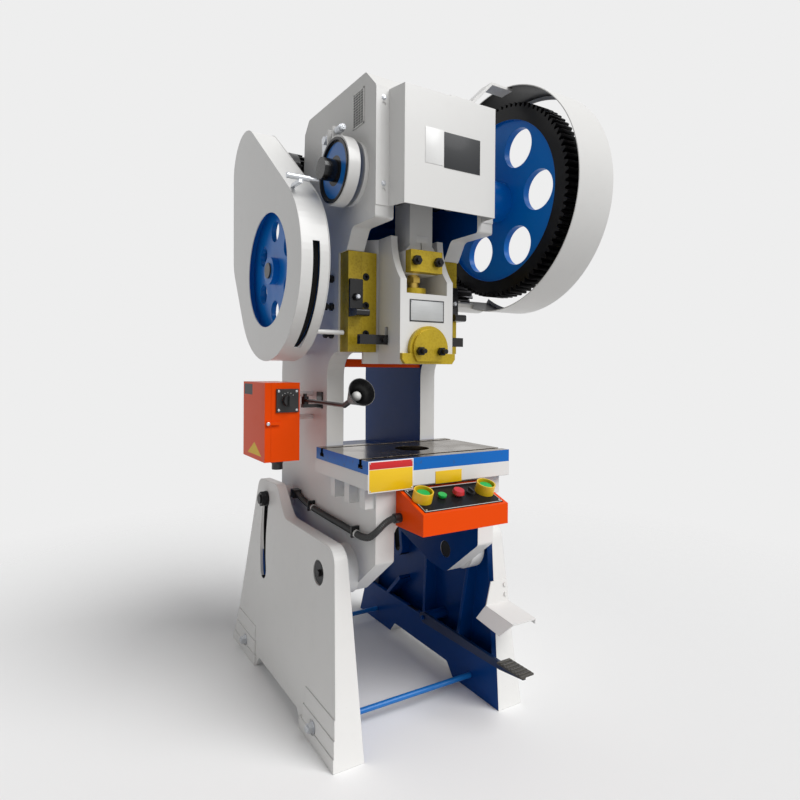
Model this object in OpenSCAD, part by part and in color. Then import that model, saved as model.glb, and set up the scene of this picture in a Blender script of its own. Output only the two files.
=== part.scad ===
// Open-back inclinable stamping press of the 25 tonne class, with a geared crank.
// X is the machine's right as its operator stands, -Y is the operator's side and Z is up.
// Z is measured from the floor. Inside the modules Y is measured from the ram's axis.

/* [Ram and crank] */
// Travel of the ram
stroke = 65; // [50:1:80]
// Height of the crankshaft's axis
crank_z = 1838; // [1820:1:1860]
// Underside of the ram at the top of its travel
ram_z = 1218; // [1205:1:1235]
// Width of the ram's front face
ram_w = 214; // [200:2:224]
// Front of the ram ahead of its axis
ram_front = 87; // [84:1:92]
// Wall beside the ram's window
ram_wall = 25; // [20:1:26]
// Diameter of the tool shank
shank_d = 40; // [30:1:50]
// Diameter of the ball that carries the ram
ball_d = 60; // [54:1:64]
// Diameter of the adjusting screw above the ball
screw_d = 40; // [34:1:42]
// Height of the ball's centre above the ram's underside
ball_rise = 207; // [202:1:212]
// Diameter of the crank pin
crank_pin_d = 80; // [70:1:84]
// Diameter of the crankshaft's main journals
journal_d = 84; // [76:1:90]

/* [Frame] */
// Outer width over the two cheeks of the frame
frame_w = 470; // [460:2:476]
// Thickness of a cheek
cheek_t = 67; // [60:1:70]
// Depth of the throat behind the ram's axis
throat = 200; // [196:1:210]
// Width of the bolster
bolster_w = 560; // [540:2:600]
// Depth of the bolster
bolster_d = 374; // [364:2:380]
// Thickness of the bolster
bolster_t = 40; // [36:1:50]
// Height of the bolster's top
bolster_z = 924; // [915:1:935]
// Thickness of the bed under the bolster
bed_t = 48; // [40:1:52]
// Diameter of the drop hole
drop_d = 120; // [80:2:150]
// Height of the guides
guide_h = 342; // [330:1:345]
// Running clearance of the guides and bearings
running = 0.05; // [0.02:0.01:0.1]
// Assembly clearance between fixed pieces
slack = 0.25; // [0.2:0.05:0.5]

/* [Stand] */
// Outer width over the feet
stand_w = 732; // [710:2:760]
// Height of the tilting pivot
pivot_z = 538; // [530:1:546]
// Diameter of the pivot pins
pivot_d = 60; // [50:1:64]
// Radius of the tilting slot round the pivot
tilt_r = 540; // [530:1:546]
// Largest tilt of the frame
tilt_max = 30; // [20:1:30]
// Thickness of the leg's outer plate
leg_plate = 22; // [18:1:26]
// Width of the rim round the leg
leg_rim = 30; // [24:1:36]
// Diameter of the tie rods
tie_d = 20; // [16:1:24]
// Diameter of the anchor holes
anchor_d = 22; // [18:1:26]

/* [Drive] */
// Tooth module of the gears
tooth_m = 8; // [8:1:8]
// Teeth of the large gear
gear_teeth = 88; // [86:1:90]
// Teeth of the pinion
pinion_teeth = 14; // [14:1:15]
// Width of the large gear
gear_w = 80; // [70:1:84]
// Diameter of the holes in the gear's web
web_hole_d = 142; // [120:2:150]
// Diameter of the flywheel
flywheel_d = 570; // [550:2:580]
// Width of the flywheel's rim
flywheel_w = 74; // [68:1:78]
// Diameter of the motor's pulley
pulley_d = 130; // [120:2:150]
// Diameter of the drive shaft
shaft_d = 55; // [50:1:60]
// Number of drive belts
belts = 3; // [2:1:3]
// Diameter of the motor's body
motor_d = 200; // [190:2:206]
// Diameter of the brake drum
drum_d = 206; // [196:2:210]

/* [Guards and controls] */
// Thickness of the sheet-metal guards
sheet = 3; // [2:0.5:4]
// Outer radius of the gear guard
gear_guard_r = 415; // [410:1:420]
// Width of the gear guard
gear_guard_w = 163; // [155:1:170]
// Width of the belt guard
belt_guard_w = 98; // [94:1:104]
// Width of the front guard
front_guard_w = 356; // [340:2:364]
// Width of the control box
box_w = 326; // [310:2:340]
// Depth of the cabinet
cabinet_d = 235; // [220:1:245]
// Height of the cabinet
cabinet_h = 269; // [250:1:280]
// Outer diameter of the control hose
hose_d = 22; // [18:1:24]

/* [Hidden] */
$fn = 48;
$fs = 0.5;

white = [0.90, 0.91, 0.90];
blue = [0.02, 0.22, 0.58];
orange = [0.96, 0.25, 0.02];
gold = [0.72, 0.58, 0.16];
steel = [0.66, 0.67, 0.68];
dark = [0.06, 0.06, 0.07];

// The floor origin is the centre of the anchor holes, so the ram's axis lies forward of it.
front_hole_y = -60;
rear_hole_y = 790;
ram_y = -(front_hole_y + rear_hole_y) / 2;
anchor_x = 320;

throw = stroke / 2;
frame_x = frame_w / 2;
inner_x = frame_x - cheek_t;
bed_z = bolster_z - bolster_t;
bed_low = bed_z - bed_t;
head_front = -142;
head_low = 1670;
head_top = 2150;
guide_z = ram_z + 40;
guide_y = 110;
window_z = ram_z + ball_rise + 28;
ram_top = ram_z + 432;
ram_x = ram_w / 2;
pin_z = crank_z + throw;
ball_z = ram_z + ball_rise;

// The ram's V ways: 45 degree flanks that meet a flat tip.
way_y = 100;
way_reach = 38;
way_tip = 5;
way_x = ram_x + way_reach;
way_root = way_reach + way_tip;
gib_x = ram_x + 12;
gib_back_x = way_x + 32;
gib_front = 50;
gib_top = guide_z + guide_h;

pivot_y = 27;
slot_w = 40;
lock_d = 36;
lock_y = pivot_y + tilt_r * cos(tilt_max / 2);
lock_z = pivot_z + tilt_r * sin(tilt_max / 2);
lock_low_z = pivot_z - tilt_r * sin(tilt_max / 2);
pivot_boss_r = pivot_d / 2 + 50;
lock_boss_r = lock_d / 2 + 26;
lock_washer_r = lock_d / 2 + 12;
leg_out = stand_w / 2;
leg_in = leg_out - 98;
lean_out = 0.045;
lean_in = 0.040;
function leg_face(z) = leg_out - lean_out * z;
function leg_back(z) = leg_in + lean_in * z;
lock_face_x = leg_face(lock_z + lock_washer_r);
leg_front_y = -158;
leg_shoulder_z = 641;
leg_lean = 76 / leg_shoulder_z;
tie_z = 54;
tie_ys = [6, 710];

gear_r = tooth_m * gear_teeth / 2;
pinion_r = tooth_m * pinion_teeth / 2;
mesh_r = gear_r + pinion_r;
mesh_dir = -45.9;
shaft_y = mesh_r * cos(mesh_dir);
shaft_z = crank_z + mesh_r * sin(mesh_dir);
shaft_at = [shaft_y, shaft_z];
motor_y = 545;
motor_z = 1972;
gear_x = 375;
gear_guard_x = gear_x - 13;
wheel_x = -425;
belt_guard_x = -433;
drum_x = -313;
drum_w = 50;
hub_r = 75;

// Small helpers
module yz(x0, x1) translate([x0, 0, 0]) rotate([90, 0, 90]) linear_extrude(x1 - x0) children();
module rod_x(x0, x1, r, y, z) translate([x0, y, z]) rotate([0, 90, 0]) cylinder(h = x1 - x0, r = r);
module rod_y(y0, y1, r, x, z) translate([x, y0, z]) rotate([-90, 0, 0]) cylinder(h = y1 - y0, r = r);
module rod_z(z0, z1, r, x, y) translate([x, y, z0]) cylinder(h = z1 - z0, r = r);
module block(x0, x1, y0, y1, z0, z1) translate([x0, y0, z0]) cube([x1 - x0, y1 - y0, z1 - z0]);
module hex_x(x0, x1, r, y, z) translate([x0, y, z]) rotate([0, 90, 0]) cylinder(h = x1 - x0, r = r, $fn = 6);
module hex_y(y0, y1, r, x, z) translate([x, y0, z]) rotate([-90, 0, 0]) cylinder(h = y1 - y0, r = r, $fn = 6);
module both_sides() for (s = [0, 1]) mirror([s, 0, 0]) children();
module on_press() translate([0, ram_y, 0]) children();

function unit(v) = v / norm(v);
function cross2(a, b) = a[0] * b[1] - a[1] * b[0];

// Round the corners of an outline. Each corner has its own radius, and 0 keeps it sharp.
function corner_arc(a, p, b, r, n) = r == 0 ? [p] :
    let (u = unit(a - p), v = unit(b - p), half = acos(u * v) / 2,
        c = p + unit(u + v) * r / sin(half), s = p + u * r / tan(half) - c,
        sweep = (180 - 2 * half) * sign(cross2(p - a, b - p)))
    [for (i = [0 : n]) let (t = sweep * i / n)
        c + [s[0] * cos(t) - s[1] * sin(t), s[0] * sin(t) + s[1] * cos(t)]];
function rounded(p, r, n = 6) = [for (i = [0 : len(p) - 1])
    each corner_arc(p[(i + len(p) - 1) % len(p)], p[i], p[(i + 1) % len(p)], r[i], n)];

// Move every edge of an anticlockwise outline inwards by d.
function edge_in(a, b, d) = let (u = unit(b - a)) [a + [-u[1], u[0]] * d, u];
function meet(e, f) = e[0] + e[1] * cross2(f[0] - e[0], f[1]) / cross2(e[1], f[1]);
function inset(p, d) = [for (i = [0 : len(p) - 1]) let (n = len(p))
    meet(edge_in(p[(i + n - 1) % n], p[i], d), edge_in(p[i], p[(i + 1) % n], d))];

// The outline of a band drawn tight round circles [y, z, r], listed anticlockwise.
function wrap_normal(a, b) = let (d = [b[0] - a[0], b[1] - a[1]])
    atan2(d[1], d[0]) - acos((a[2] - b[2]) / norm(d));
function wrap(c, off, step = 4) = [for (i = [0 : len(c) - 1]) let (n = len(c),
        a0 = wrap_normal(c[(i + n - 1) % n], c[i]), a1 = wrap_normal(c[i], c[(i + 1) % n]),
        sweep = ((a1 - a0) % 360 + 360) % 360, k = max(1, ceil(sweep / step)))
    for (j = [0 : k]) let (a = a0 + sweep * j / k)
        [c[i][0] + (c[i][2] - off) * cos(a), c[i][1] + (c[i][2] - off) * sin(a)]];

// An involute gear with stub teeth. The first tooth stands at the angle start.
add_k = 0.8;
ded_k = 1.025;
press_angle = 20;
backlash = 0.3;
function inv(a) = tan(a) * 180 / PI - a;
function tooth_half(r, z, m) = let (rp = m * z / 2, rb = rp * cos(press_angle), a = r > rb ? acos(rb / r) : 0)
    90 / z - backlash / rp * 90 / PI + inv(press_angle) - inv(a);
function tooth(z, m, n = 3) = let (rp = m * z / 2, tip = rp + add_k * m, root = rp - ded_k * m,
        low = max(root, rp * cos(press_angle)),
        r = [for (i = [0 : n]) low + (tip - low) * i / n])
    concat(root < low ? [[root, -tooth_half(low, z, m)]] : [],
        [for (i = [0 : n]) [r[i], -tooth_half(r[i], z, m)]],
        [for (i = [n : -1 : 0]) [r[i], tooth_half(r[i], z, m)]],
        root < low ? [[root, tooth_half(low, z, m)]] : []);
function gear_outline(z, m, start) = [for (k = [0 : z - 1]) for (q = tooth(z, m))
    q[0] * [cos(start + k * 360 / z + q[1]), sin(start + k * 360 / z + q[1])]];

// Stand
arch_z = 45;
arch_front_y = 111;
arch_rear_y = 580;
leg_rear_y = 871;
leg_top = [[647, 745], [440, 752], [345, 643], [leg_front_y + 76, leg_shoulder_z]];
leg_top_radii = [50, 50, 60, 55];
leg_outline = concat([[leg_front_y, 0], [arch_front_y, 0], [150, arch_z], [545, arch_z], [arch_rear_y, 0],
    [leg_rear_y, 0]], leg_top);
leg_radii = concat([0, 0, 20, 20, 0, 0], leg_top_radii);
leg_well = concat([[leg_front_y, 0], [leg_rear_y, 0]], leg_top);
// Raised pads on the outside of the feet, each one layer further out than the one above it
pad_step = 2.5;
pad_tops = [148, 90, 40];
pad_front_ends = [80, 90, arch_front_y];
pad_rear_ends = [600, 590, arch_rear_y];
function leg_front(z) = leg_front_y + leg_lean * z;
function leg_rear(z) = leg_rear_y - (leg_rear_y - leg_top[0][0]) / leg_top[0][1] * z;
module foot_pads() for (i = [0 : 2]) let (out = (i + 1) * pad_step, top = pad_tops[i]) intersection() {
    rotate([90, 0, 0]) translate([0, 0, -1000]) linear_extrude(2000)
        polygon([[leg_face(0) - 1, 0], [leg_face(0) + out, 0], [leg_face(top) + out, top],
            [leg_face(top) - 1, top]]);
    yz(leg_in, leg_out + 20) {
        polygon([[leg_front_y, 0], [pad_front_ends[i], 0], [pad_front_ends[i], top], [leg_front(top), top]]);
        polygon([[pad_rear_ends[i], 0], [leg_rear_y, 0], [leg_rear(top), top], [pad_rear_ends[i], top]]);
    }
}
module leg_wedge(cut) {
    top = 900;
    rotate([90, 0, 0]) translate([0, 0, -1000]) linear_extrude(2000)
        polygon([[leg_in, 0], [leg_face(0) - cut, 0], [leg_face(top) - cut, top], [leg_back(top), top]]);
}
module leg() {
    well = inset(leg_well, leg_rim);
    well_z = arch_z + leg_rim;
    skirt_z = 160;
    rib_t = 16;
    hub = [pivot_y, pivot_z];
    difference() {
        intersection() {
            union() {
                difference() {
                    yz(leg_in - 1, leg_out + 1) polygon(rounded(leg_outline, leg_radii));
                    intersection() {
                        leg_wedge(leg_plate);
                        yz(leg_in - 2, leg_out) polygon(rounded([[well[0][0], well_z], [well[1][0], well_z],
                            well[2], well[3], well[4], well[5]], [20, 20, 20, 20, 90, 25]));
                    }
                }
                yz(leg_in - 1, leg_out - 8) difference() {
                    union() {
                        translate([pivot_y, pivot_z]) circle(r = pivot_d / 2 + 28);
                        for (t = [[hub, [105, 80]], [[322, 630], [322, 80]], [[520, 260], [700, 80]]])
                            rib_2d(t[0], t[1], rib_t);
                    }
                    translate([pivot_y, pivot_z]) circle(r = pivot_d / 2 - 4);
                }
                yz(leg_in - 1, leg_out - 8) slot_2d(slot_w / 2 + 20);
                yz(leg_in - 1, leg_in + 24) intersection() {
                    polygon(rounded(leg_outline, leg_radii));
                    translate([leg_front_y, 0]) square([leg_rear_y - leg_front_y, skirt_z]);
                }
            }
            leg_wedge(0);
        }
        rod_x(leg_in - 5, leg_out + 5, pivot_d / 2 + running, pivot_y, pivot_z);
        rod_x(leg_face(pivot_z) - 10, leg_out + 5, pivot_d / 2 + 10, pivot_y, pivot_z);
        yz(leg_in - 5, leg_out + 5) slot_2d(slot_w / 2);
        // The lock bolt's washer slides on an upright face, sunk into the leaning plate
        yz(lock_face_x, leg_out + 5) slot_2d(lock_washer_r + 2);
        for (y = tie_ys) rod_x(leg_in - 5, leg_out + 5, tie_d / 2 + slack, y, tie_z);
        for (y = [front_hole_y, rear_hole_y]) rod_z(-1, well_z + 1, anchor_d / 2, anchor_x, y);
    }
}
module padded_leg() {
    leg();
    difference() {
        foot_pads();
        for (y = tie_ys) {
            rod_x(leg_in - 5, leg_out + 5, tie_d / 2 + slack, y, tie_z);
            rod_x(leg_out, leg_out + 20, tie_d + 3, y, tie_z);
        }
    }
}
module rib_2d(a, b, t) translate(a) rotate(atan2(b[1] - a[1], b[0] - a[0]))
    translate([0, -t / 2]) square([norm(b - a), t]);
module slot_2d(r) {
    n = 10;
    lead = 0.6;
    half = tilt_max / 2 + lead;
    function arc(rr, a) = [pivot_y + rr * cos(a), pivot_z + rr * sin(a)];
    polygon(concat([for (i = [0 : n]) arc(tilt_r + r, -half + 2 * half * i / n)],
        [for (i = [n : -1 : 0]) arc(tilt_r - r, -half + 2 * half * i / n)]));
    for (a = [-half, half]) translate(arc(tilt_r, a)) circle(r = r);
}
module left_leg() on_press() color(white) mirror([1, 0, 0]) padded_leg();

pedal_x = 231;
pedal_pin_y = 253;
pedal_pin_z = 189;
pedal_pin_r = 9;
module right_leg() on_press() color(white) difference() {
    union() {
        padded_leg();
        rod_x(pedal_x - 14, leg_face(pedal_pin_z) - leg_plate / 2, pedal_pin_r, pedal_pin_y, pedal_pin_z);
        rod_x(pedal_x + 8, leg_face(pedal_pin_z) - leg_plate / 2, 20, pedal_pin_y, pedal_pin_z);
    }
    for (z = guard_screw_zs) rod_y(-200, -60, 4 + slack, guard_screw_x, z);
}
module tie_rods() on_press() color(blue) for (y = tie_ys)
    rod_x(-leg_out - 26, leg_out + 26, tie_d / 2, y, tie_z);
module tie_rod_nuts() on_press() color(steel) both_sides() for (y = tie_ys) difference() {
    union() {
        rod_x(leg_out + 0.3, leg_out + 4.3, tie_d, y, tie_z);
        hex_x(leg_out + 4.3, leg_out + 20, tie_d * 0.86, y, tie_z);
    }
    rod_x(leg_out - 5, leg_out + 30, tie_d / 2 + slack, y, tie_z);
}

// The sheet guard over the pedal, folded from one blank and screwed to the leg's sloping front.
pedal_guard_z = 364;
guard_screw_x = 333;
guard_screw_zs = [389, 422];
guard_x = [240, 345];
guard_flange_h = 76;
guard_reach = 142;
guard_pitch = 6.6;
guard_flare = 49;
guard_t = sheet + 1;
module pedal_guard() on_press() color(white) {
    seat = leg_front(pedal_guard_z - guard_t) - 0.3;
    top_z = pedal_guard_z + guard_flange_h;
    seat_top = leg_front(top_z) - 0.3;
    difference() {
        intersection() {
            yz(guard_x[0], guard_x[1]) polygon([[seat - guard_t, pedal_guard_z - guard_t],
                [seat, pedal_guard_z - guard_t], [seat_top, top_z], [seat_top - guard_t, top_z]]);
            rotate([90, 0, 0]) translate([0, 0, 80]) linear_extrude(80)
                polygon([[guard_x[0], pedal_guard_z - guard_t], [guard_x[1], pedal_guard_z - guard_t],
                    [guard_x[1], top_z], [guard_x[0] + 30, top_z]]);
        }
        for (z = guard_screw_zs) rod_y(-200, -60, 4 + slack, guard_screw_x, z);
    }
    // The tread cover slopes to the front, and its left side flares outwards
    translate([0, seat - 1, pedal_guard_z]) rotate([guard_pitch, 0, 0]) {
        block(guard_x[0], guard_x[1], -guard_reach, 0, -guard_t, 0);
        block(guard_x[1] - guard_t, guard_x[1], -guard_reach, -4, -18, 0);
        translate([guard_x[0], 0, -0.5]) rotate([0, guard_flare, 0]) yz(0, guard_t)
            polygon([[-guard_reach, 0], [16 - guard_reach, -56], [-2, -54], [0, 0]]);
    }
    for (z = guard_screw_zs) {
        rod_y(leg_front(z) - guard_t - 5, leg_front(z) - guard_t, 8, guard_screw_x, z);
        rod_y(leg_front(z) - guard_t, leg_front(z) + 20, 4, guard_screw_x, z);
    }
}
module foot_pedal() on_press() color(dark) {
    pad_front = -322;
    pad_rear = -206;
    difference() {
        union() {
            yz(pedal_x - 6, pedal_x + 6) polygon(rounded([[pad_front, 196], [pad_rear, 180],
                [pedal_pin_y, 168], [pedal_pin_y + 24, 178], [pedal_pin_y + 24, 200],
                [pedal_pin_y, 210], [pad_rear, 206],
                [pad_front, 206]], [0, 0, 0, 10, 10, 0, 0, 0], 4));
            block(pedal_x - 16, pedal_x + 41, pad_front, pad_rear, 202, 208);
            for (i = [0 : 5]) translate([0, pad_front + 10 + i * 18, 0])
                block(pedal_x - 14, pedal_x + 39, 0, 6, 207, 210);
        }
        rod_x(pedal_x - 20, pedal_x + 20, pedal_pin_r + running, pedal_pin_y, pedal_pin_z);
    }
}

// Frame casting
cheek_outline = [[-158, 598], [-60, 520], [24, 454], [120, 462], [420, 560], [600, 600], [645, 660],
    [650, 1180], [630, 1420], [440, 1740], [416, 2105], [375, head_top], [-78, 2141], [head_front, 2078],
    [head_front, head_low], [8, head_low], [gib_front, gib_top], [guide_y, gib_top], [guide_y, guide_z],
    [throat, guide_z], [throat, bed_z], [-160, bed_z]];
cheek_radii = [14, 60, 50, 60, 60, 40, 30, 120, 120, 60, 12, 20, 12, 10, 8, 24, 10, 0, 8, 84, 12, 0];
module cheek() {
    difference() {
        union() {
            yz(inner_x, frame_x) polygon(rounded(cheek_outline, cheek_radii));
            rod_x(frame_x - 1, leg_back(pivot_z - pivot_boss_r) - 0.3, pivot_boss_r, pivot_y, pivot_z);
            rod_x(frame_x - 1, leg_back(lock_low_z - lock_boss_r) - 0.3, lock_boss_r, lock_y, lock_z);
            translate([0, 0, guide_z]) linear_extrude(guide_h) polygon(jaw_outline());
        }
        rod_x(inner_x - 5, frame_x + 5, journal_d / 2 + bush_t + slack, 0, crank_z);
        rod_x(inner_x - 5, frame_x + 5, shaft_d / 2 + 5, shaft_y, shaft_z);
        rod_x(inner_x - 5, leg_out, pivot_d / 2 + slack, pivot_y, pivot_z);
        rod_x(inner_x - 5, leg_out, lock_d / 2 + slack, lock_y, lock_z);
        for (z = gib_bolt_zs) {
            rod_y(guide_y - 1, guide_y + 42, gib_bolt_r + slack, gib_bolt_x, z);
            rod_x(frame_x - 22, frame_x + 1, gib_bolt_r + slack, set_bolt_y, z);
        }
    }
}
bush_t = 12;
// The fixed jaw behind the ram's way keeps the running clearance along its 45 degree flank.
function flank_sum() = way_x + way_y + way_tip + running * sqrt(2);
function jaw_outline() = [[inner_x + 1, guide_y], [flank_sum() - guide_y, guide_y],
    [gib_x, flank_sum() - gib_x], [gib_x, 170], [inner_x + 1, 188]];
gib_bolt_x = way_x + 15;
gib_bolt_r = 8;
gib_bolt_zs = [guide_z + 62, guide_z + 159, guide_z + 257];
set_bolt_y = 155;

module c_frame() on_press() color(white) difference() {
    union() {
        both_sides() cheek();
        // Bed, its rear shelf and the ribs under its ends
        block(-bolster_w / 2, bolster_w / 2, -bolster_d / 2, throat - 2, bed_low, bed_z);
        block(-inner_x - 1, inner_x + 1, throat - 3, 630, bed_low, bed_z - 8);
        both_sides() for (y = [-150, -45, 60])
            block(frame_x - 1, bolster_w / 2 - 12, y, y + 34, bed_low - 66, bed_low + 1);
        // Front web with its arched underside
        difference() {
            block(-inner_x - 1, inner_x + 1, -160, -122, 690, bed_low + 1);
            rotate([90, 0, 0]) translate([0, 0, 100]) linear_extrude(80)
                polygon(rounded([[-inner_x, 680], [inner_x, 680], [inner_x, 715], [-inner_x, 715]],
                    [0, 0, 34, 34]));
        }
        // Lower rear web, diaphragm behind the guides, head rear wall and head roof
        block(-inner_x - 1, inner_x + 1, 575, 610, 640, bed_low + 1);
        block(-inner_x - 1, inner_x + 1, throat - 14, throat + 14, guide_z + 30, head_low + 60);
        yz(-inner_x - 1, inner_x + 1) polygon([[388, 1760], [428, 1760], [414, 2104], [376, head_top - 1],
            [-77, 2140], [head_front + 1, 2077], [head_front + 1, 2052], [-68, 2116], [365, 2124],
            [392, 2094]]);
    }
    // Slug opening through the bed
    block(-105, 105, -72, 72, bed_low - 5, bed_z + 5);
    both_sides() for (z = stand_off_zs) rod_x(frame_x - 20, frame_x + 1, 6 + slack, stand_off_y, z);
}
stand_off_zs = [1020, 1105];
stand_off_y = 330;
bolster_slot_y = 141;
module bolster_plate() on_press() color(blue) difference() {
    translate([-bolster_w / 2, -bolster_d / 2, bed_z]) cube([bolster_w, bolster_d, bolster_t]);
    rod_z(bed_z - 1, bolster_z + 1, drop_d / 2, 0, 0);
    for (y = [-bolster_slot_y, bolster_slot_y]) {
        block(-bolster_w, bolster_w, y - 9, y + 9, bolster_z - 16, bolster_z + 1);
        block(-bolster_w, bolster_w, y - 15, y + 15, bolster_z - 28, bolster_z - 15.9);
    }
}

// Guides
function gib_outline() = [[gib_x, gib_front], [gib_back_x, gib_front], [gib_back_x, guide_y],
    [way_x + 3, guide_y],
    [way_x + 3, way_x + 3 - ram_x + way_y - way_root - running * sqrt(2)],
    [gib_x, gib_x - ram_x + way_y - way_root - running * sqrt(2)]];
module gib() difference() {
    translate([0, 0, guide_z]) linear_extrude(guide_h) polygon(gib_outline());
    for (z = gib_bolt_zs) {
        rod_y(gib_front - 1, guide_y + 1, gib_bolt_r + slack, gib_bolt_x, z);
        rod_y(gib_front - 1, gib_front + 14, 13, gib_bolt_x, z);
    }
}
module left_gib() on_press() color(gold) mirror([1, 0, 0]) gib();
module right_gib() on_press() color(gold) gib();
bar_x0 = gib_back_x + 0.3;
bar_x1 = frame_x - 7;
module gib_bars() on_press() color(gold) both_sides() difference() {
    block(bar_x0, bar_x1, gib_front, guide_y, guide_z, gib_top);
    rod_y(gib_front - 1, gib_front + 30, gib_bolt_r + slack, stop_x, stop_bolt_z);
}
stop_x = (bar_x0 + bar_x1) / 2;
stop_bolt_z = guide_z + 185;
module gib_bolts() on_press() color(dark) both_sides() {
    for (z = gib_bolt_zs) {
        difference() {
            rod_y(gib_front - 2, gib_front + 13.7, 12, gib_bolt_x, z);
            hex_y(gib_front - 3, gib_front + 6, 7, gib_bolt_x, z);
        }
        rod_y(gib_front + 13, guide_y + 40, gib_bolt_r, gib_bolt_x, z);
        rod_x(frame_x - 20, frame_x + 34, gib_bolt_r, set_bolt_y, z);
        hex_x(frame_x + 0.3, frame_x + 12, 14, set_bolt_y, z);
        hex_x(frame_x + 22, frame_x + 34, 13, set_bolt_y, z);
    }
    hex_y(gib_front - 24, gib_front - 12.3, 13, stop_x, stop_bolt_z);
    rod_y(gib_front - 13, gib_front + 28, gib_bolt_r, stop_x, stop_bolt_z);
}
module knockout_stops() on_press() color(dark) both_sides() difference() {
    union() {
        block(bar_x0 + 1, bar_x1 - 1, gib_front - 12, gib_front - 0.3, guide_z + 122, guide_z + 246);
        yz(bar_x0 + 1, bar_x1 - 1) polygon(rounded([[gib_front - 1, guide_z + 148],
            [gib_front - 62, guide_z + 142], [gib_front - 62, guide_z + 118], [gib_front - 1, guide_z + 118]],
            [0, 8, 8, 0], 4));
    }
    rod_y(gib_front - 20, gib_front + 1, gib_bolt_r + slack, stop_x, stop_bolt_z);
}
module throat_bar() on_press() color(orange)
    block(-inner_x + 0.3, inner_x - 0.3, throat + 4, throat + 12, guide_z - 52, guide_z - 22);

// Crank, rod and ram
module crank_bushes() on_press() color(gold) both_sides() difference() {
    union() {
        rod_x(inner_x - 6, frame_x + 6, journal_d / 2 + bush_t, 0, crank_z);
        rod_x(frame_x + 0.3, frame_x + 14, journal_d / 2 + bush_t + 50, 0, crank_z);
        rod_x(inner_x - 10, inner_x - 0.3, journal_d / 2 + bush_t + 8, 0, crank_z);
    }
    rod_x(inner_x - 20, frame_x + 30, journal_d / 2 + running, 0, crank_z);
}
web_x0 = 58;
web_x1 = 100;
module crankshaft() on_press() color(dark) {
    rod_x(drum_x - 42, drum_x + drum_w + 1, 35, 0, crank_z);
    rod_x(drum_x + drum_w, -web_x1 + 1, journal_d / 2, 0, crank_z);
    rod_x(web_x1 - 1, gear_x + gear_w + 16, journal_d / 2, 0, crank_z);
    rod_x(gear_x + gear_w + 16, gear_x + gear_w + 34, journal_d / 2 + 14, 0, crank_z);
    rod_x(-web_x0 - 1, web_x0 + 1, crank_pin_d / 2, 0, pin_z);
    both_sides() yz(web_x0, web_x1) polygon(wrap([[0, crank_z - 12, 62], [0, pin_z, 58]], 0, 8));
}
module brake_drum() on_press() color(blue) difference() {
    union() {
        rod_x(drum_x, drum_x + drum_w - 2, drum_d / 2, 0, crank_z);
    }
    rod_x(drum_x - 1, drum_x + 8, drum_d / 2 - 8, 0, crank_z);
    rod_x(drum_x - 1, drum_x + drum_w, 35 + running, 0, crank_z);
}
band_gap = 0.4;
band_t = 7;
lug_y = 34;
lug_z = crank_z + drum_d / 2 + 32;
module brake_band() on_press() color(white) difference() {
    union() {
        rod_x(drum_x + 4, drum_x + drum_w - 6, drum_d / 2 + band_gap + band_t, 0, crank_z);
        for (y = [lug_y - 22, lug_y + 14])
            block(drum_x + 6, drum_x + drum_w - 8, y, y + 8, crank_z + drum_d / 2 - 12, lug_z + 14);
    }
    rod_x(drum_x - 1, drum_x + drum_w, drum_d / 2 + band_gap, 0, crank_z);
    block(drum_x - 1, drum_x + drum_w, lug_y - 14, lug_y + 14, crank_z, lug_z + 20);
    rod_y(lug_y - 40, lug_y + 40, 5 + slack, drum_x + 22, lug_z);
}
module brake_tensioner() on_press() color(steel) {
    x = drum_x + 22;
    rod_y(lug_y - 70, lug_y + 40, 5, x, lug_z);
    hex_y(lug_y + 22.3, lug_y + 32, 10, x, lug_z);
    hex_y(lug_y - 68, lug_y - 58, 10, x, lug_z);
    difference() {
        rod_y(lug_y - 57.7, lug_y - 22.3, 10, x, lug_z);
        rod_y(lug_y - 58, lug_y - 22, 5.5, x, lug_z);
        for (i = [0 : 5]) difference() {
            rod_y(lug_y - 55 + i * 5.6, lug_y - 52.5 + i * 5.6, 11, x, lug_z);
            rod_y(lug_y - 56 + i * 5.6, lug_y - 51 + i * 5.6, 8, x, lug_z);
        }
    }
}
// The anchor plate holds the band's rear lug against the frame.
anchor_y = 82;
module brake_bracket() on_press() color(steel) difference() {
    union() {
        yz(drum_x + 30, drum_x + 36) polygon(rounded([[lug_y + 22.6, lug_z - 16],
            [anchor_y + 52, crank_z + 18], [anchor_y + 66, crank_z + 18], [anchor_y + 66, lug_z + 22],
                [lug_y + 22.6, lug_z + 22]],
            [0, 8, 8, 14, 6], 4));
        rod_x(drum_x + 35, -frame_x - 0.3, 12, anchor_y + 48, crank_z + 60);
        hex_x(drum_x + 12, drum_x + 30.5, 15, anchor_y + 48, crank_z + 60);
        hex_x(drum_x + 18, drum_x + 30.5, 15, anchor_y + 30, lug_z + 2);
    }
    rod_y(lug_y + 10, lug_y + 60, 11, drum_x + 22, lug_z);
}

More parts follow.
